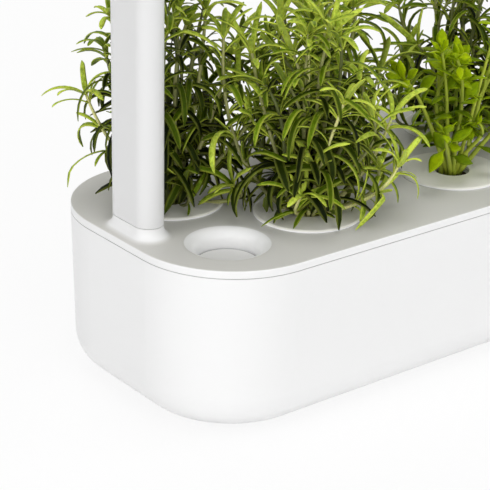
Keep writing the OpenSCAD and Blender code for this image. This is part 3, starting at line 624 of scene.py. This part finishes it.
def soil_plug(name, low, high):
    """Plug of soil: the radius grows evenly from 0.8 of the top's to the top, and the top waves up
    and down. Height of the top = sum of six sine waves of the place across it."""
    rng = np.random.default_rng(sum(name.encode()))
    centre = 0.5 * (low + high)
    top_r = 0.5 * (high[0] - low[0]) - PLUG_GAP
    top_z = high[2] - low[2] - PLUG_SUNK
    turn = np.linspace(0.0, 2 * np.pi, PLUG_SIDES, endpoint=False)
    side_z = np.linspace(0.0, 1.0, PLUG_WALL_RINGS)
    radii = top_r * np.concatenate([0.8 + 0.2 * side_z, np.linspace(0.92, 0.08, PLUG_TOP_RINGS)])
    heights = np.concatenate([side_z * top_z, np.full(PLUG_TOP_RINGS, top_z)])
    x = radii[:, None] * np.cos(turn)
    y = radii[:, None] * np.sin(turn)
    rough = np.zeros_like(x)
    for _ in range(SOIL_WAVES):
        along_x, along_y = rng.uniform(-WAVE_RATE, WAVE_RATE), rng.uniform(-WAVE_RATE, WAVE_RATE)
        rough += np.sin(along_x * x + along_y * y + rng.uniform(0, 6.28))
    on_top = (np.arange(len(radii)) >= PLUG_WALL_RINGS)[:, None]
    z = heights[:, None] + on_top * WAVE_HEIGHT * rough
    points = np.stack([x + centre[0], y + centre[1], z + low[2]], -1).reshape(-1, 3)
    return mesh_object(name, points, ring_faces(len(radii), PLUG_SIDES), soil)


def node_corners(node):
    low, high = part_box(node)
    return np.array(low), np.array(high)


pod_nodes = [name for name in nodes if name.startswith("pod_")]
for pod in pod_nodes:
    plug = soil_plug("soil_" + pod[4:], *node_corners(pod))
    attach(plug, pod.replace("pod_", "cup_"))
    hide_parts(pod)
print("made", len(pod_nodes), "soil plugs")

# %% [markdown]
# A leaf is green tissue with pale rolled edges, dark where it is old and yellow-green where it is
# young; the edges are also made brighter, as a painted highlight. Stems are paler and more yellow.
# Each stage could have its own material, but there are many stages, so each leaf point carries
# three
# values instead: red is the leaf's youth, which in the low middle of a rosemary is also lowered as
# painted shade, green is how near the point is to the leaf's edge, and blue is 1 on the underside.

# %% Leaf and stem materials


def tone_value(tree, output):
    return add_node(tree, "Attribute", {}, output, attribute_name="tone")


def leaf_material(name, greens, edge, under, roughness, edge_from):
    """Green by youth from three stops (old, half-grown, young), then the pale edge, brightened
    partly as a painted highlight, then the underside."""
    material, tree, shader = new_material(name)
    split = tree.nodes.new("ShaderNodeSeparateColor")
    feed(tree, split, {"Color": tone_value(tree, "Color")})
    youth, rim, below = (split.outputs[c] for c in ("Red", "Green", "Blue"))
    mottle = add_noise(tree, object_place(tree), 420.0, 4.0, 0.6)
    patchy = add_math(tree, "MULTIPLY", youth, add_map(tree, mottle, 0.35, 0.65, 0.75, 1.2))
    # Pale rolled edge, partly the leaf's own colour and partly a painted highlight.
    edge_highlight_mask = add_math(tree, "MULTIPLY", add_map(tree, rim, edge_from, 1.0, 0.0, 0.8),
                         add_map(tree, youth, 0.0, 0.5, 0.25, 1.0))
    green = add_mix(tree, edge_highlight_mask, add_ramp(tree, patchy, greens), (*edge, 1.0))
    below_mask = add_math(tree, "MULTIPLY", below, 0.5)
    feed(tree, shader, {
        "Base Color": add_mix(tree, below_mask, green, (*under, 1.0)),
        "Roughness": add_map(tree, mottle, 0.3, 0.7, roughness - 0.07, roughness + 0.1),
        "Subsurface Weight": 0.25, "Subsurface Radius": (0.7, 1.0, 0.05),
        "Subsurface Scale": 0.001, "Specular IOR Level": 0.07})
    add_bump(tree, shader, mottle, 0.35, 0.0003)
    return material


def stem_material(name, colour, shade):
    """Mixes the old shoots' shade and the young shoots' colour, with stretched noise as fibres."""
    material, tree, shader = new_material(name)
    fibre = stretched_noise(tree, (1.0, 1.0, 0.12), 1500.0, 3.0)
    streaks = add_math(tree, "MULTIPLY", tone_value(tree, "Fac"),
                       add_map(tree, fibre, 0.3, 0.7, 0.6, 1.1))
    feed(tree, shader, {
        "Base Color": add_mix(tree, streaks, (*shade, 1.0), (*colour, 1.0)), "Roughness": 0.55,
        "Subsurface Weight": 0.1, "Subsurface Radius": (0.5, 1.0, 0.2), "Subsurface Scale": 0.002})
    add_bump(tree, shader, fibre, 0.3, 0.0002)
    return material


rosemary_leaf = leaf_material(
    "rosemary_leaf",
    [(0.0, (0.005, 0.009, 0.001)), (0.45, (0.12, 0.20, 0.005)), (1.0, (0.62, 0.75, 0.10))],
    edge=(0.74, 0.82, 0.11), under=(0.22, 0.27, 0.06), roughness=0.42, edge_from=0.45)
basil_leaf = leaf_material(
    "basil_leaf",
    [(0.0, (0.05, 0.095, 0.002)), (0.5, (0.20, 0.30, 0.003)), (1.0, (0.38, 0.50, 0.004))],
    edge=(0.42, 0.55, 0.01), under=(0.28, 0.38, 0.02), roughness=0.38, edge_from=0.85)
rosemary_stem = stem_material("rosemary_stem", (0.84, 0.82, 0.34), (0.11, 0.13, 0.035))
basil_stem = stem_material("basil_stem", (0.56, 0.64, 0.06), (0.28, 0.35, 0.03))
print("mixed", rosemary_leaf.name, basil_leaf.name, rosemary_stem.name, basil_stem.name)

# %% [markdown]
# A stem follows a cubic curve from its root to its tip and tapers along it. Curve objects with a
# bevel would do, but arrays make every stem of a plant at once, and the same formula then says
# where its leaves stand.

# %% Growing stems
STEM_RINGS = 14
STEM_SIDES = 6
UP = np.array([0.0, 0.0, 1.0])
NEARLY_UPRIGHT = 0.97


def unit(vectors):
    return vectors / np.maximum(np.linalg.norm(vectors, axis=-1, keepdims=True), 1e-9)


def curve_points(control, t):
    """Cubic curves of four control points, (stems, 4, 3), at values t, (stems, k): points and
    directions."""
    t = t[..., None]
    s = 1.0 - t
    p0, p1, p2, p3 = (control[:, i, None, :] for i in range(4))
    place = s**3 * p0 + 3 * s**2 * t * p1 + 3 * s * t**2 * p2 + t**3 * p3
    slope = 3 * s**2 * (p1 - p0) + 6 * s * t * (p2 - p1) + 3 * t**2 * (p3 - p2)
    return place, unit(slope)


def side_vectors(direction):
    """Two unit vectors square to each direction: one level, one completing the three."""
    steep = np.abs(direction[..., 2:3]) > NEARLY_UPRIGHT
    across = unit(np.cross(direction, np.where(steep, np.array([1.0, 0.0, 0.0]), UP)))
    return across, np.cross(across, direction)


def stem_tubes(control, root_r, tip_r, bright):
    """Tapered tubes: radius falls evenly from root_r to tip_r along each curve. Bright is 1 for a
    pale young shoot and 0 for an old dull one."""
    count = len(control)
    t = np.repeat(np.linspace(0.0, 1.0, STEM_RINGS)[None], count, 0)
    place, direction = curve_points(control, t)
    across, over = side_vectors(direction)
    turn = np.linspace(0.0, 2 * np.pi, STEM_SIDES, endpoint=False)
    radius = (root_r[:, None] * (1 - t) + tip_r * t)[..., None, None]
    circle = across[:, :, None] * np.cos(turn)[:, None] + over[:, :, None] * np.sin(turn)[:, None]
    points = (place[:, :, None] + radius * circle).reshape(-1, 3)
    tones = np.repeat(bright, STEM_RINGS * STEM_SIDES)[:, None] * np.ones(3)
    return points, ring_faces(STEM_RINGS, STEM_SIDES, count)[:, ::-1], tones


print("a stem is", STEM_RINGS, "rings of", STEM_SIDES, "points")

# %% [markdown]
# Each leaf is a thin closed blade that arches over and hangs, with its edges rolled down and a
# groove along the middle. One leaf could be modelled and copied, but then all would curl alike, so
# each one's curve is worked out, all leaves of a plant at a time.

# %% Growing leaves
LEAF_RINGS = 10
LEAF_THICKNESS = 0.7 * MM
OVAL_STALK = 0.3
# section of a leaf: how far across (-1 to 1), how high in thicknesses, and 1 where it is below
LEAF_SECTION = np.array([
    [-1.0, -0.9, 0.5], [-0.5, 0.5, 0.0], [0.0, 0.1, 0.0],
    [0.5, 0.5, 0.0], [1.0, -0.9, 0.5], [0.0, -0.7, 1.0]])


def strap_width(u):
    """Share of a narrow leaf's width: rises quickly, stays even, and rounds off at the tip."""
    rise = 1.0 - np.clip(1.0 - u / 0.3, 0.0, 1.0) ** 2.2
    fall = np.sqrt(np.clip(1.0 - np.clip((u - 0.72) / 0.285, 0.0, 1.0) ** 2, 0.0, 1.0))
    return np.maximum((0.35 + 0.65 * rise) * fall, 0.06)


def oval_width(u):
    """Share of an oval leaf's width: a thin stalk, then a blade that follows a sine to a point."""
    blade = np.clip((u - OVAL_STALK) / (1.0 - OVAL_STALK), 0.0, 1.0)
    return np.maximum(np.sin(np.pi * blade**0.8) ** 0.75, 0.09)


def curved_leaves(base, heading, face, length, width, curl, youth, twist,
                  width_share=strap_width, thickness=LEAF_THICKNESS):
    """Leaves as closed blades. Each starts at base along heading with its upper side towards face.
    Its direction turns away from face by the angle curl x u at the share u of its length, and it
    rolls by twist x u. Its width at u is width x width_share(u)."""
    count = len(base)
    u = np.linspace(0.0, 1.0, LEAF_RINGS)
    side = unit(np.cross(heading, face))
    top = np.cross(side, heading)
    angle = (curl[:, None] * u)[..., None]
    direction = np.cos(angle) * heading[:, None] - np.sin(angle) * top[:, None]
    step = (length[:, None] / (LEAF_RINGS - 1))[..., None]
    middle = 0.5 * (direction[:, 1:] + direction[:, :-1]) * step
    spine = base[:, None] + np.concatenate([np.zeros((count, 1, 3)), np.cumsum(middle, 1)], 1)
    level = np.repeat(side[:, None], LEAF_RINGS, 1)
    roll = (twist[:, None] * u)[..., None]
    across = np.cos(roll) * level + np.sin(roll) * np.cross(level, direction)
    normal = np.cross(across, direction)
    half = 0.5 * width[:, None] * width_share(u)
    thick = np.minimum(np.minimum(0.16 * width[:, None], thickness), 0.8 * half)
    points = (spine[:, :, None]
              + (half[..., None] * LEAF_SECTION[:, 0])[..., None] * across[:, :, None]
              + (thick[..., None] * LEAF_SECTION[:, 1])[..., None] * normal[:, :, None])
    tones = np.zeros(points.shape)
    tones[..., 0] = youth[:, None, None]
    tones[..., 1] = np.abs(LEAF_SECTION[:, 0])
    tones[..., 2] = LEAF_SECTION[:, 2]
    return points.reshape(count, -1, 3), tones.reshape(count, -1, 3)


print("a leaf is", LEAF_RINGS, "sections of", len(LEAF_SECTION), "points")

# %% [markdown]
# Neighbouring plants and the arms leave a plant only so much room. Stems could be grown first and
# cut where they collide, but a real plant turns away in time. Here the room at a bearing is the
# distance to the nearest upright plane: halfway to a neighbour, in front of an arm, or the side of
# the garden. Stems use a share of it. Two plants have one more plane, which keeps them back from
# the arm and the basin.

# %% Room around a plant
PLANTS = sorted(n for n in nodes if n.startswith(("rosemary_", "basil_")))
GARDEN_HALF_LENGTH, GARDEN_HALF_WIDTH = node_corners("deck_cover")[1][:2]
NEIGHBOUR_REACH = 0.13
NEIGHBOUR_OVERLAP = 0.004
ARM_GAP = 0.006
MAX_REACH = 0.050
LEAF_OVERHANG = 0.020
SAME_PLACE = 0.001
# place: (direction, distance in metres)
OPEN_SIDES = {"front_1": ((-0.71, -0.71), 0.012), "back_1": ((-0.60, -0.80), 0.020)}


def pod_middle(place):
    low, high = node_corners("pod_" + place)
    return np.array([0.5 * (low[0] + high[0]), 0.5 * (low[1] + high[1]), high[2] - 0.001])


def arm_outline(side):
    """Centre and half sizes of an arm's outline, which has round ends, from its box."""
    low, high = node_corners("lower_arm_" + side)
    return 0.5 * (low[:2] + high[:2]), 0.5 * (high[:2] - low[:2])


POD_MIDDLES = {place: pod_middle(place) for place in (plant.split("_", 1)[1] for plant in PLANTS)}
ARM_OUTLINES = [arm_outline(side) for side in ("left", "right")]


def room_planes(place):
    """Upright planes around a plant, each as a unit direction and a distance from the plant."""
    own = POD_MIDDLES[place][:2]
    planes = []
    if place in OPEN_SIDES:
        planes.append((np.array(OPEN_SIDES[place][0]), OPEN_SIDES[place][1]))
    for middle in POD_MIDDLES.values():
        away = middle[:2] - own
        distance = np.linalg.norm(away)
        if SAME_PLACE < distance < NEIGHBOUR_REACH:
            planes.append((away / distance, 0.5 * distance + NEIGHBOUR_OVERLAP))
    for centre, half in ARM_OUTLINES:
        core = centre + [0.0, np.clip(own[1] - centre[1], half[0] - half[1], half[1] - half[0])]
        away = core - own
        distance = np.linalg.norm(away)
        planes.append((away / distance, distance - half[0] - ARM_GAP))
    for side in (-1.0, 1.0):
        planes.append((np.array([0.0, side]), GARDEN_HALF_WIDTH - LEAF_OVERHANG - side * own[1]))
    return planes


def room_at(planes, bearing):
    """Least distance to any plane along each bearing, and never over MAX_REACH."""
    outward = np.stack([np.cos(bearing), np.sin(bearing)], -1)
    reach = np.full(len(bearing), MAX_REACH)
    for direction, distance in planes:
        toward = outward @ direction
        to_plane = distance / np.maximum(toward, 0.05)
        reach = np.minimum(reach, np.where(toward > 0.05, to_plane, MAX_REACH))
    return reach


print("room planes of each plant:", [len(room_planes(place)) for place in POD_MIDDLES])

# %% [markdown]
# A leaf must not grow through the deck or an arm, nor hang over a neighbour's cup, which lifts out
# past it. Real leaves bend aside, and a cloth simulation could do that. Here a leaf in the way is
# made shorter, or left out if it would lose nearly half its length, which hardly shows in a bush.

# %% Leaves that fit
CUP_LOW, CUP_HIGH = node_corners("cup_back_1")
DECK_TOP = CUP_HIGH[2]
CUP_R = 0.5 * (CUP_HIGH[0] - CUP_LOW[0]) + 0.0005
CUP_TRAVEL = 0.068
LEAF_CLEARANCE = 0.0015
DECK_CLEARANCE = 0.0008
SHORTENED = (0.85, 0.7, 0.6)
LEAST_SHARE = 0.55
END_OVERHANG = 0.002
SIDE_INSET = 0.008
SQUEEZE = 0.6


def over_other_cups(points, pod_at):
    """True for each leaf that hangs over another cup, low enough to be in its way up."""
    hit = np.zeros(len(points), bool)
    low_enough = points[..., 2] < DECK_TOP + CUP_TRAVEL
    for centre in POD_MIDDLES.values():
        if np.linalg.norm(centre - pod_at) > SAME_PLACE:
            distance = np.linalg.norm(points[..., :2] - centre[:2], axis=-1)
            hit |= ((distance < CUP_R) & low_enough).any(1)
    return hit


def clear_of_arms(points):
    """True for each leaf that stays outside both arms: the distance from the arm's middle line,
    which is the radius of its round ends, is more than half its thickness."""
    clear = np.ones(len(points), bool)
    for centre, half in ARM_OUTLINES:
        offset = points[..., :2] - centre
        straight = half[1] - half[0]
        core = np.clip(offset[..., 1], -straight, straight)
        distance = np.hypot(offset[..., 0], offset[..., 1] - core)
        clear &= distance.min(1) > half[0] + LEAF_CLEARANCE
    return clear


def leaves_that_fit(leaves, tones, pod_at):
    """Leaves moved onto their plant. One that would reach below the deck's top, or over another
    cup, is made shorter. Tips past the garden's sides are drawn in by a share of their excess."""
    leaves = leaves + pod_at
    base = leaves[:, :len(LEAF_SECTION)].mean(1, keepdims=True)
    drop = base[:, 0, 2] - leaves[..., 2].min(1)
    to_deck = base[:, 0, 2] - DECK_TOP - DECK_CLEARANCE
    share = np.minimum(to_deck / np.maximum(drop, 1e-6), 1.0)
    for shorter in SHORTENED:
        hit = over_other_cups(base + share[:, None, None] * (leaves - base), pod_at)
        share = np.where(hit, np.minimum(share, shorter), share)
    leaves = base + share[:, None, None] * (leaves - base)
    fits = (share > LEAST_SHARE) & ~over_other_cups(leaves, pod_at) & clear_of_arms(leaves)
    leaves, tones = leaves[fits], tones[fits]
    limits = (GARDEN_HALF_LENGTH + END_OVERHANG, GARDEN_HALF_WIDTH - SIDE_INSET)
    for axis, limit in enumerate(limits):
        past = np.maximum(np.abs(leaves[..., axis]) - limit, 0.0)
        leaves[..., axis] -= np.sign(leaves[..., axis]) * SQUEEZE * past
    faces = ring_faces(LEAF_RINGS, len(LEAF_SECTION), len(leaves))[:, ::-1]
    return leaves.reshape(-1, 3), faces, tones.reshape(-1, 3)


print("leaves stay above", DECK_TOP, "and off cups of radius", CUP_R, "metres")

# %% [markdown]
# A plant is a bundle of stems: some stand up in the middle, some lean out and arch, and some sprawl
# low over the cup and turn up at the tip. Nine plants placed by hand would take long, so their
# stems are drawn from a seeded generator, which gives the same ones each time.

# %% Stems of a plant
# kind: (share of the stems, reach as a share of the room, height as a share of the plant's,
#        how far out and how high the two middle points of the curve lie)
STEM_KINDS = {
    "upright": (0.42, (0.05, 0.45), (0.80, 1.00), (0.25, 0.35), (0.70, 0.70)),
    "leaning": (0.33, (0.60, 0.98), (0.48, 0.78), (0.40, 0.42), (0.98, 0.70)),
    "low": (0.25, (0.70, 1.00), (0.14, 0.34), (0.55, 0.30), (1.02, 0.25)),
}
GOLDEN_ANGLE = 2.39996
SWAY = 0.0045


def grown_stems(rng, kinds, count, height, planes):
    """Stems of every kind as curves of four points: out and up by shares of reach and height."""
    sets, first = [], 0
    for share, reach_range, height_range, low_point, high_point in kinds.values():
        number = max(int(round(share * count)), 1)
        bearing = (first + np.arange(number)) * GOLDEN_ANGLE + rng.uniform(-0.3, 0.3, number)
        first += number
        outward = np.stack([np.cos(bearing), np.sin(bearing), np.zeros(number)], -1)
        reach = (room_at(planes, bearing) * rng.uniform(*reach_range, number))[:, None]
        tall = (height * rng.uniform(*height_range, number))[:, None]
        root = outward * rng.uniform(0.001, 0.007, (number, 1))
        sway = rng.normal(0.0, SWAY, (number, 3)) * [1, 1, 0]
        curve = [root]
        for out, high in (low_point, high_point):
            curve.append(root + outward * out * reach + UP * high * tall + sway)
            sway = -sway
        curve.append(outward * reach + UP * tall + 1.4 * sway)
        sets.append(np.stack(curve, 1))
    return np.concatenate(sets)


print("kinds of stems:", list(STEM_KINDS))

# %% [markdown]
# Leaves of both herbs stand in pairs, each pair a quarter turn from the last, and a tuft of small
# ones closes each stem. A particle system could scatter them, but wouldn't know these rules, so
# their places are counted along the stem's own curve.

# %% Leaf places
LENGTH_POINTS = 24
TUFT = 5


def curve_lengths(control):
    """Length of each curve, as the sum of short straight pieces."""
    t = np.repeat(np.linspace(0, 1, LENGTH_POINTS)[None], len(control), 0)
    return np.linalg.norm(np.diff(curve_points(control, t)[0], axis=1), axis=2).sum(1)


def stem_nodes(rng, control, spacing):
    """Places where leaves stand: each pair is turned a quarter from the last, on either side."""
    stem, t, angle = [], [], []
    for index, length in enumerate(curve_lengths(control)):
        count = max(int(length / spacing), 3)
        share = (np.arange(count) + rng.uniform(0.35, 0.75)) / count
        quarter = np.arange(count) * (np.pi / 2) + rng.uniform(0.0, 6.28)
        for half_turn in (0.0, np.pi):
            stem.append(np.full(count, index))
            t.append(np.clip(share + rng.normal(0, 0.008, count), 0.02, 0.98))
            angle.append(quarter + half_turn + rng.normal(0, 0.25, count))
    stem, t, angle = (np.concatenate(part) for part in (stem, t, angle))
    place, direction = curve_points(control[stem], t[:, None])
    across, over = side_vectors(direction)
    radial = across[:, 0] * np.cos(angle)[:, None] + over[:, 0] * np.sin(angle)[:, None]
    return place[:, 0], direction[:, 0], radial, t, stem


def leaf_headings(direction, radial, open_angle):
    """Leaf directions that open from the stem by open_angle, and their upper sides."""
    cos, sin = np.cos(open_angle)[:, None], np.sin(open_angle)[:, None]
    return unit(radial * sin + direction * cos), unit(direction * sin - radial * cos)


def tip_tufts(rng, control, leaf_length, leaf_width, youth, **blade):
    """A tuft of small, bright leaves that open from each stem's tip."""
    stems = len(control)
    tips = curve_points(control, np.ones((stems, 1)))
    place, direction = (np.repeat(part[:, 0], TUFT, 0) for part in tips)
    across, over = side_vectors(direction)
    angle = np.tile(np.arange(TUFT) * 2 * np.pi / TUFT, stems)[:, None]
    radial = across * np.cos(angle) + over * np.sin(angle)
    count = stems * TUFT
    heading, face = leaf_headings(direction, radial, rng.uniform(0.15, 0.8, count))
    return curved_leaves(place, heading, face, leaf_length * rng.uniform(0.5, 1.1, count),
                         np.full(count, leaf_width), rng.uniform(0.2, 1.9, count),
                         np.clip(np.repeat(youth, TUFT) + rng.normal(0, 0.15, count), 0, 1),
                         rng.normal(0, 0.3, count), **blade)


print("a tuft has", TUFT, "leaves")

# %% [markdown]
# Each grown plant is one piece, because it lifts out with its cup. Its thousands of faces are
# joined as arrays before Blender gets them, which is far quicker than joining objects.

# %% Whole plants


def join_parts(parts):
    """Joins (points, faces, tones) sets into one, and numbers the set that each face is from."""
    shift, points, faces, tones, part_of = 0, [], [], [], []
    for index, (part_points, part_faces, part_tones) in enumerate(parts):
        points.append(part_points)
        faces.append(part_faces + shift)
        tones.append(part_tones)
        part_of.append(np.full(len(part_faces), index))
        shift += len(part_points)
    return tuple(np.concatenate(arrays) for arrays in (points, faces, tones, part_of))


def plant_object(name, place, tubes, leaf_sets, leaf_finish, stem_finish):
    """One mesh of the stems and of every leaf that fits, with a material for each."""
    pod_at = POD_MIDDLES[place]
    stem_points, stem_faces, stem_tones = tubes
    parts = [(stem_points + pod_at, stem_faces, stem_tones)]
    parts += [leaves_that_fit(*leaf_set, pod_at) for leaf_set in leaf_sets]
    points, faces, tones, part_of = join_parts(parts)
    piece = mesh_object(name, points, faces, leaf_finish, tones)
    piece.data.materials.append(stem_finish)
    piece.data.polygons.foreach_set("material_index", (part_of == 0).astype(np.int32))
    return piece, int(np.sum(part_of > 0)) // len(ring_faces(LEAF_RINGS, len(LEAF_SECTION)))


# %% [markdown]
# Rosemary has long narrow leaves. Old ones near the root are broad, dark and hang, and young ones
# near the tip are short, bright and upright. One average leaf would look like a toy, so the place
# along the stem sets length, width and colour. Leaves in the low middle are made darker, partly as
# older leaves and partly as painted shade.

# %% Rosemary
ROSEMARY_STEMS = 20
ROSEMARY_SPACING = 0.0150
ROSEMARY_LENGTH = 0.057
ROSEMARY_WIDTHS = (0.0034, 0.0036)
SHADY_R = 0.024


def rosemary_leaves(rng, control, bright, darkening):
    """Long leaves at every node, and a smaller one in most leaves' angles. With t as the share of
    the stem, length falls by 0.2 t + 0.38 t^4, width by (1 - t)^2, and youth grows by t^1.3."""
    place, direction, radial, t, stem = stem_nodes(rng, control, ROSEMARY_SPACING)
    count = len(t)
    open_angle = 0.80 - 0.35 * t**2 + rng.normal(0, 0.2, count)
    heading, face = leaf_headings(direction, radial, open_angle)
    length = ROSEMARY_LENGTH * (1.0 - 0.2 * t - 0.38 * t**4) * rng.uniform(0.7, 1.1, count)
    tip_width, more_width = ROSEMARY_WIDTHS
    width = (tip_width + more_width * (1.0 - t) ** 2) * rng.uniform(0.8, 1.15, count)
    curl = rng.uniform(1.4, 3.3, count) * (1.0 - 0.35 * t**2)
    # Partly painted shade: leaves low in the plant's middle get less youth, so they are darker.
    middle = np.exp(-(np.linalg.norm(place[:, :2], axis=1) / SHADY_R) ** 2)
    low = np.clip(1.3 - place[:, 2] / (0.8 * place[:, 2].max()), 0, 1)
    vigour = (0.55 * bright - 0.14)[stem]
    youth = 0.02 - darkening + 0.55 * t**1.3 + vigour + rng.normal(0, 0.21, count)
    youth = youth * (1.0 - middle * low)
    main = curved_leaves(place, heading, face, length, width, curl, np.clip(youth, 0, 1),
                         rng.normal(0, 0.4, count))
    some = rng.random(count) < 0.85
    few = some.sum()
    heading, face = leaf_headings(direction[some], radial[some], rng.uniform(0.2, 0.7, few))
    small = curved_leaves(place[some], heading, face, length[some] * rng.uniform(0.3, 0.6, few),
                          0.6 * width[some], rng.uniform(0.2, 1.8, few),
                          np.clip(youth[some] + 0.2, 0, 1), rng.normal(0, 0.3, few))
    return main, small


def rosemary_plant(name, place, seed, height, hand_stems=(), darkening=0.0):
    """One plant: random stems, plus listed ones as brightness and four points in mm."""
    rng = np.random.default_rng(seed)
    control = grown_stems(rng, STEM_KINDS, ROSEMARY_STEMS, height, room_planes(place))
    bright = rng.uniform(0.0, 0.6, len(control)) - darkening
    if len(hand_stems):
        placed = np.array([points for _, points in hand_stems], float) * MM
        control = np.concatenate([control, placed])
        bright = np.concatenate([bright, [share for share, _ in hand_stems]])
    tubes = stem_tubes(control, rng.uniform(0.0012, 0.0018, len(control)), 0.0009, bright)
    leaf_sets = [*rosemary_leaves(rng, control, bright, darkening),
                 tip_tufts(rng, control, 0.032, 0.0038, 0.6 + 0.4 * bright - darkening)]
    return plant_object(name, place, tubes, leaf_sets, rosemary_leaf, rosemary_stem)


print("a rosemary plant grows", ROSEMARY_STEMS, "stems")

# %% [markdown]
# The other herb has thick, pale, upright stems and broad oval leaves on stalks. The same blade
# function makes its leaves, only wider, shorter, thinner and less curled.

# %% Oval-leaved herb
HERB_STEMS = 14
HERB_KINDS = {
    "upright": (0.6, (0.10, 0.50), (0.70, 1.00), (0.25, 0.35), (0.70, 0.70)),
    "leaning": (0.4, (0.60, 0.95), (0.40, 0.75), (0.35, 0.50), (0.85, 0.80)),
}
HERB_SPACING = 0.0125
HERB_BARE_SHARE = 0.26
HERB_LENGTH = 0.0225
HERB_BLADE = {"width_share": oval_width, "thickness": 0.4 * MM}


def basil_plant(name, place, seed, height):
    """Stems of the same kinds as above, with broad leaves in pairs and rounder tufts."""
    rng = np.random.default_rng(seed)
    control = grown_stems(rng, HERB_KINDS, HERB_STEMS, height, room_planes(place))
    tubes = stem_tubes(control, rng.uniform(0.0014, 0.0019, len(control)), 0.0009,
                       rng.uniform(0.2, 1.0, len(control)))
    nodes_at = stem_nodes(rng, control, HERB_SPACING)
    leafy = nodes_at[3] > HERB_BARE_SHARE
    node_at, direction, radial, t, _ = (part[leafy] for part in nodes_at)
    count = len(t)
    open_angle = 1.0 - 0.5 * t**2 + rng.normal(0, 0.2, count)
    heading, face = leaf_headings(direction, radial, open_angle)
    length = HERB_LENGTH * (1.0 - 0.25 * t**3) * rng.uniform(0.65, 1.15, count)
    leaves = curved_leaves(node_at, heading, face, length, 0.44 * length,
                           rng.uniform(0.3, 1.6, count),
                           np.clip(0.1 + 0.7 * t + rng.normal(0, 0.2, count), 0, 1),
                           rng.normal(0, 0.5, count), **HERB_BLADE)
    tufts = tip_tufts(rng, control, 0.015, 0.007, np.full(len(control), 0.8), **HERB_BLADE)
    return plant_object(name, place, tubes, [leaves, tufts], basil_leaf, basil_stem)


print("an oval-leaved herb grows", HERB_STEMS, "stems")

# %% [markdown]
# Each packed plant is a plain solid that keeps the room for a living one, and a grown plant takes
# its place. The shoots that show most from the camera are listed one by one. The others are random.

# %% Planting
ROSEMARY_SEED = 11
HERB_SEED = 31
TIP_ROOM = 0.014
# plant: shoots as (brightness, four points in mm from the middle of the pod's top)
HAND_STEMS = {
    "rosemary_back_1": [
        (1.0, [(-4, 3, 0), (-18, 13, 22), (-33, 24, 42), (-40, 30, 70)]),
        (0.5, [(-3, 2, 0), (-10, 8, 40), (-20, 16, 80), (-27, 22, 118)]),
        (0.6, [(3, -1, 0), (12, -5, 45), (19, -8, 85), (20, -8, 122)]),
        (0.8, [(5, 0, 0), (14, -8, 30), (25, -14, 60), (31, -17, 92)]),
    ],
    "rosemary_front_1": [
        (1.0, [(-4, -5, 0), (-6, -10, 22), (-5, -19, 45), (6, -22, 76)]),
        (1.0, [(2, -5, 0), (4, -26, 14), (24, -38, 14), (32, -43, 38)]),
        (0.9, [(8, 0, 0), (26, -12, 14), (37, -20, 36), (42, -25, 62)]),
        (0.9, [(0, 0, 0), (-1, 1, 40), (-1, 1, 75), (-2, 2, 108)]),
        (0.4, [(-5, 4, 0), (-28, 23, 16), (-42, 35, 52), (-40, 34, 110)]),
        (0.4, [(-4, 2, 0), (-16, 10, 35), (-25, 18, 70), (-28, 22, 102)]),
        (0.8, [(-3, -2, 0), (-12, -5, 8), (-22, -9, 6), (-19, -16, 22)]),
    ],
}
# Every leaf, tuft and stem tone of this plant is made darker by this share.
PLANT_DARKENING = {"rosemary_back_1": 0.12}


def plant_all():
    """Each CAD plant is replaced by a grown one on the same pod."""
    total = 0
    for index, node in enumerate(PLANTS):
        kind, place = node.split("_", 1)
        height = node_corners(node)[1][2] - POD_MIDDLES[place][2] - TIP_ROOM
        if kind == "rosemary":
            piece, leaves = rosemary_plant("grown_" + node, place, ROSEMARY_SEED + index, height,
                                           HAND_STEMS.get(node, ()), PLANT_DARKENING.get(node, 0.0))
        else:
            piece, leaves = basil_plant("grown_" + node, place, HERB_SEED + index, height)
        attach(piece, "cup_" + place)
        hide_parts(node)
        total += leaves
    print("grew", len(PLANTS), "plants with", total, "leaves")


plant_all()

# %% [markdown]
# The floor is a plain pale sheet. A white one in the garden's light would still look grey, so it
# glows to the camera, as the background does, and less so near the garden, which keeps the soft
# shadow that it stands in.

# %% Floor
FLOOR_SIDE = 12.0
FLOOR_GREY = (0.9, 0.9, 0.9, 1.0)
FLOOR_WHITE_SHARE = 0.87
SHADOW_REACH = (0.8, 2.5)


def add_floor():
    """Square sheet. Its white share rises evenly with the distance from the garden."""
    material, tree, shader = new_material("floor_white")
    feed(tree, shader, {"Base Color": FLOOR_GREY, "Roughness": 0.9, "Specular IOR Level": 0.1})
    away = add_length(tree, object_place(tree))
    whiter = add_map(tree, away, *SHADOW_REACH, FLOOR_WHITE_SHARE, 1.0)
    share = add_math(tree, "MULTIPLY", seen_rays(tree), whiter)
    glow = add_node(tree, "Emission", {"Strength": 1.0})
    mix = add_node(tree, "MixShader", {"Fac": share, 1: shader.outputs["BSDF"], 2: glow})
    feed(tree, tree.nodes["Material Output"], {"Surface": mix})
    corners = np.array([[-1.0, -1.0, 0.0], [1.0, -1.0, 0.0], [1.0, 1.0, 0.0], [-1.0, 1.0, 0.0]])
    floor = mesh_object("floor", 0.5 * FLOOR_SIDE * corners, np.array([[0, 1, 2, 3]]), material)


add_floor()
print("laid a floor of", FLOOR_SIDE, "metres")
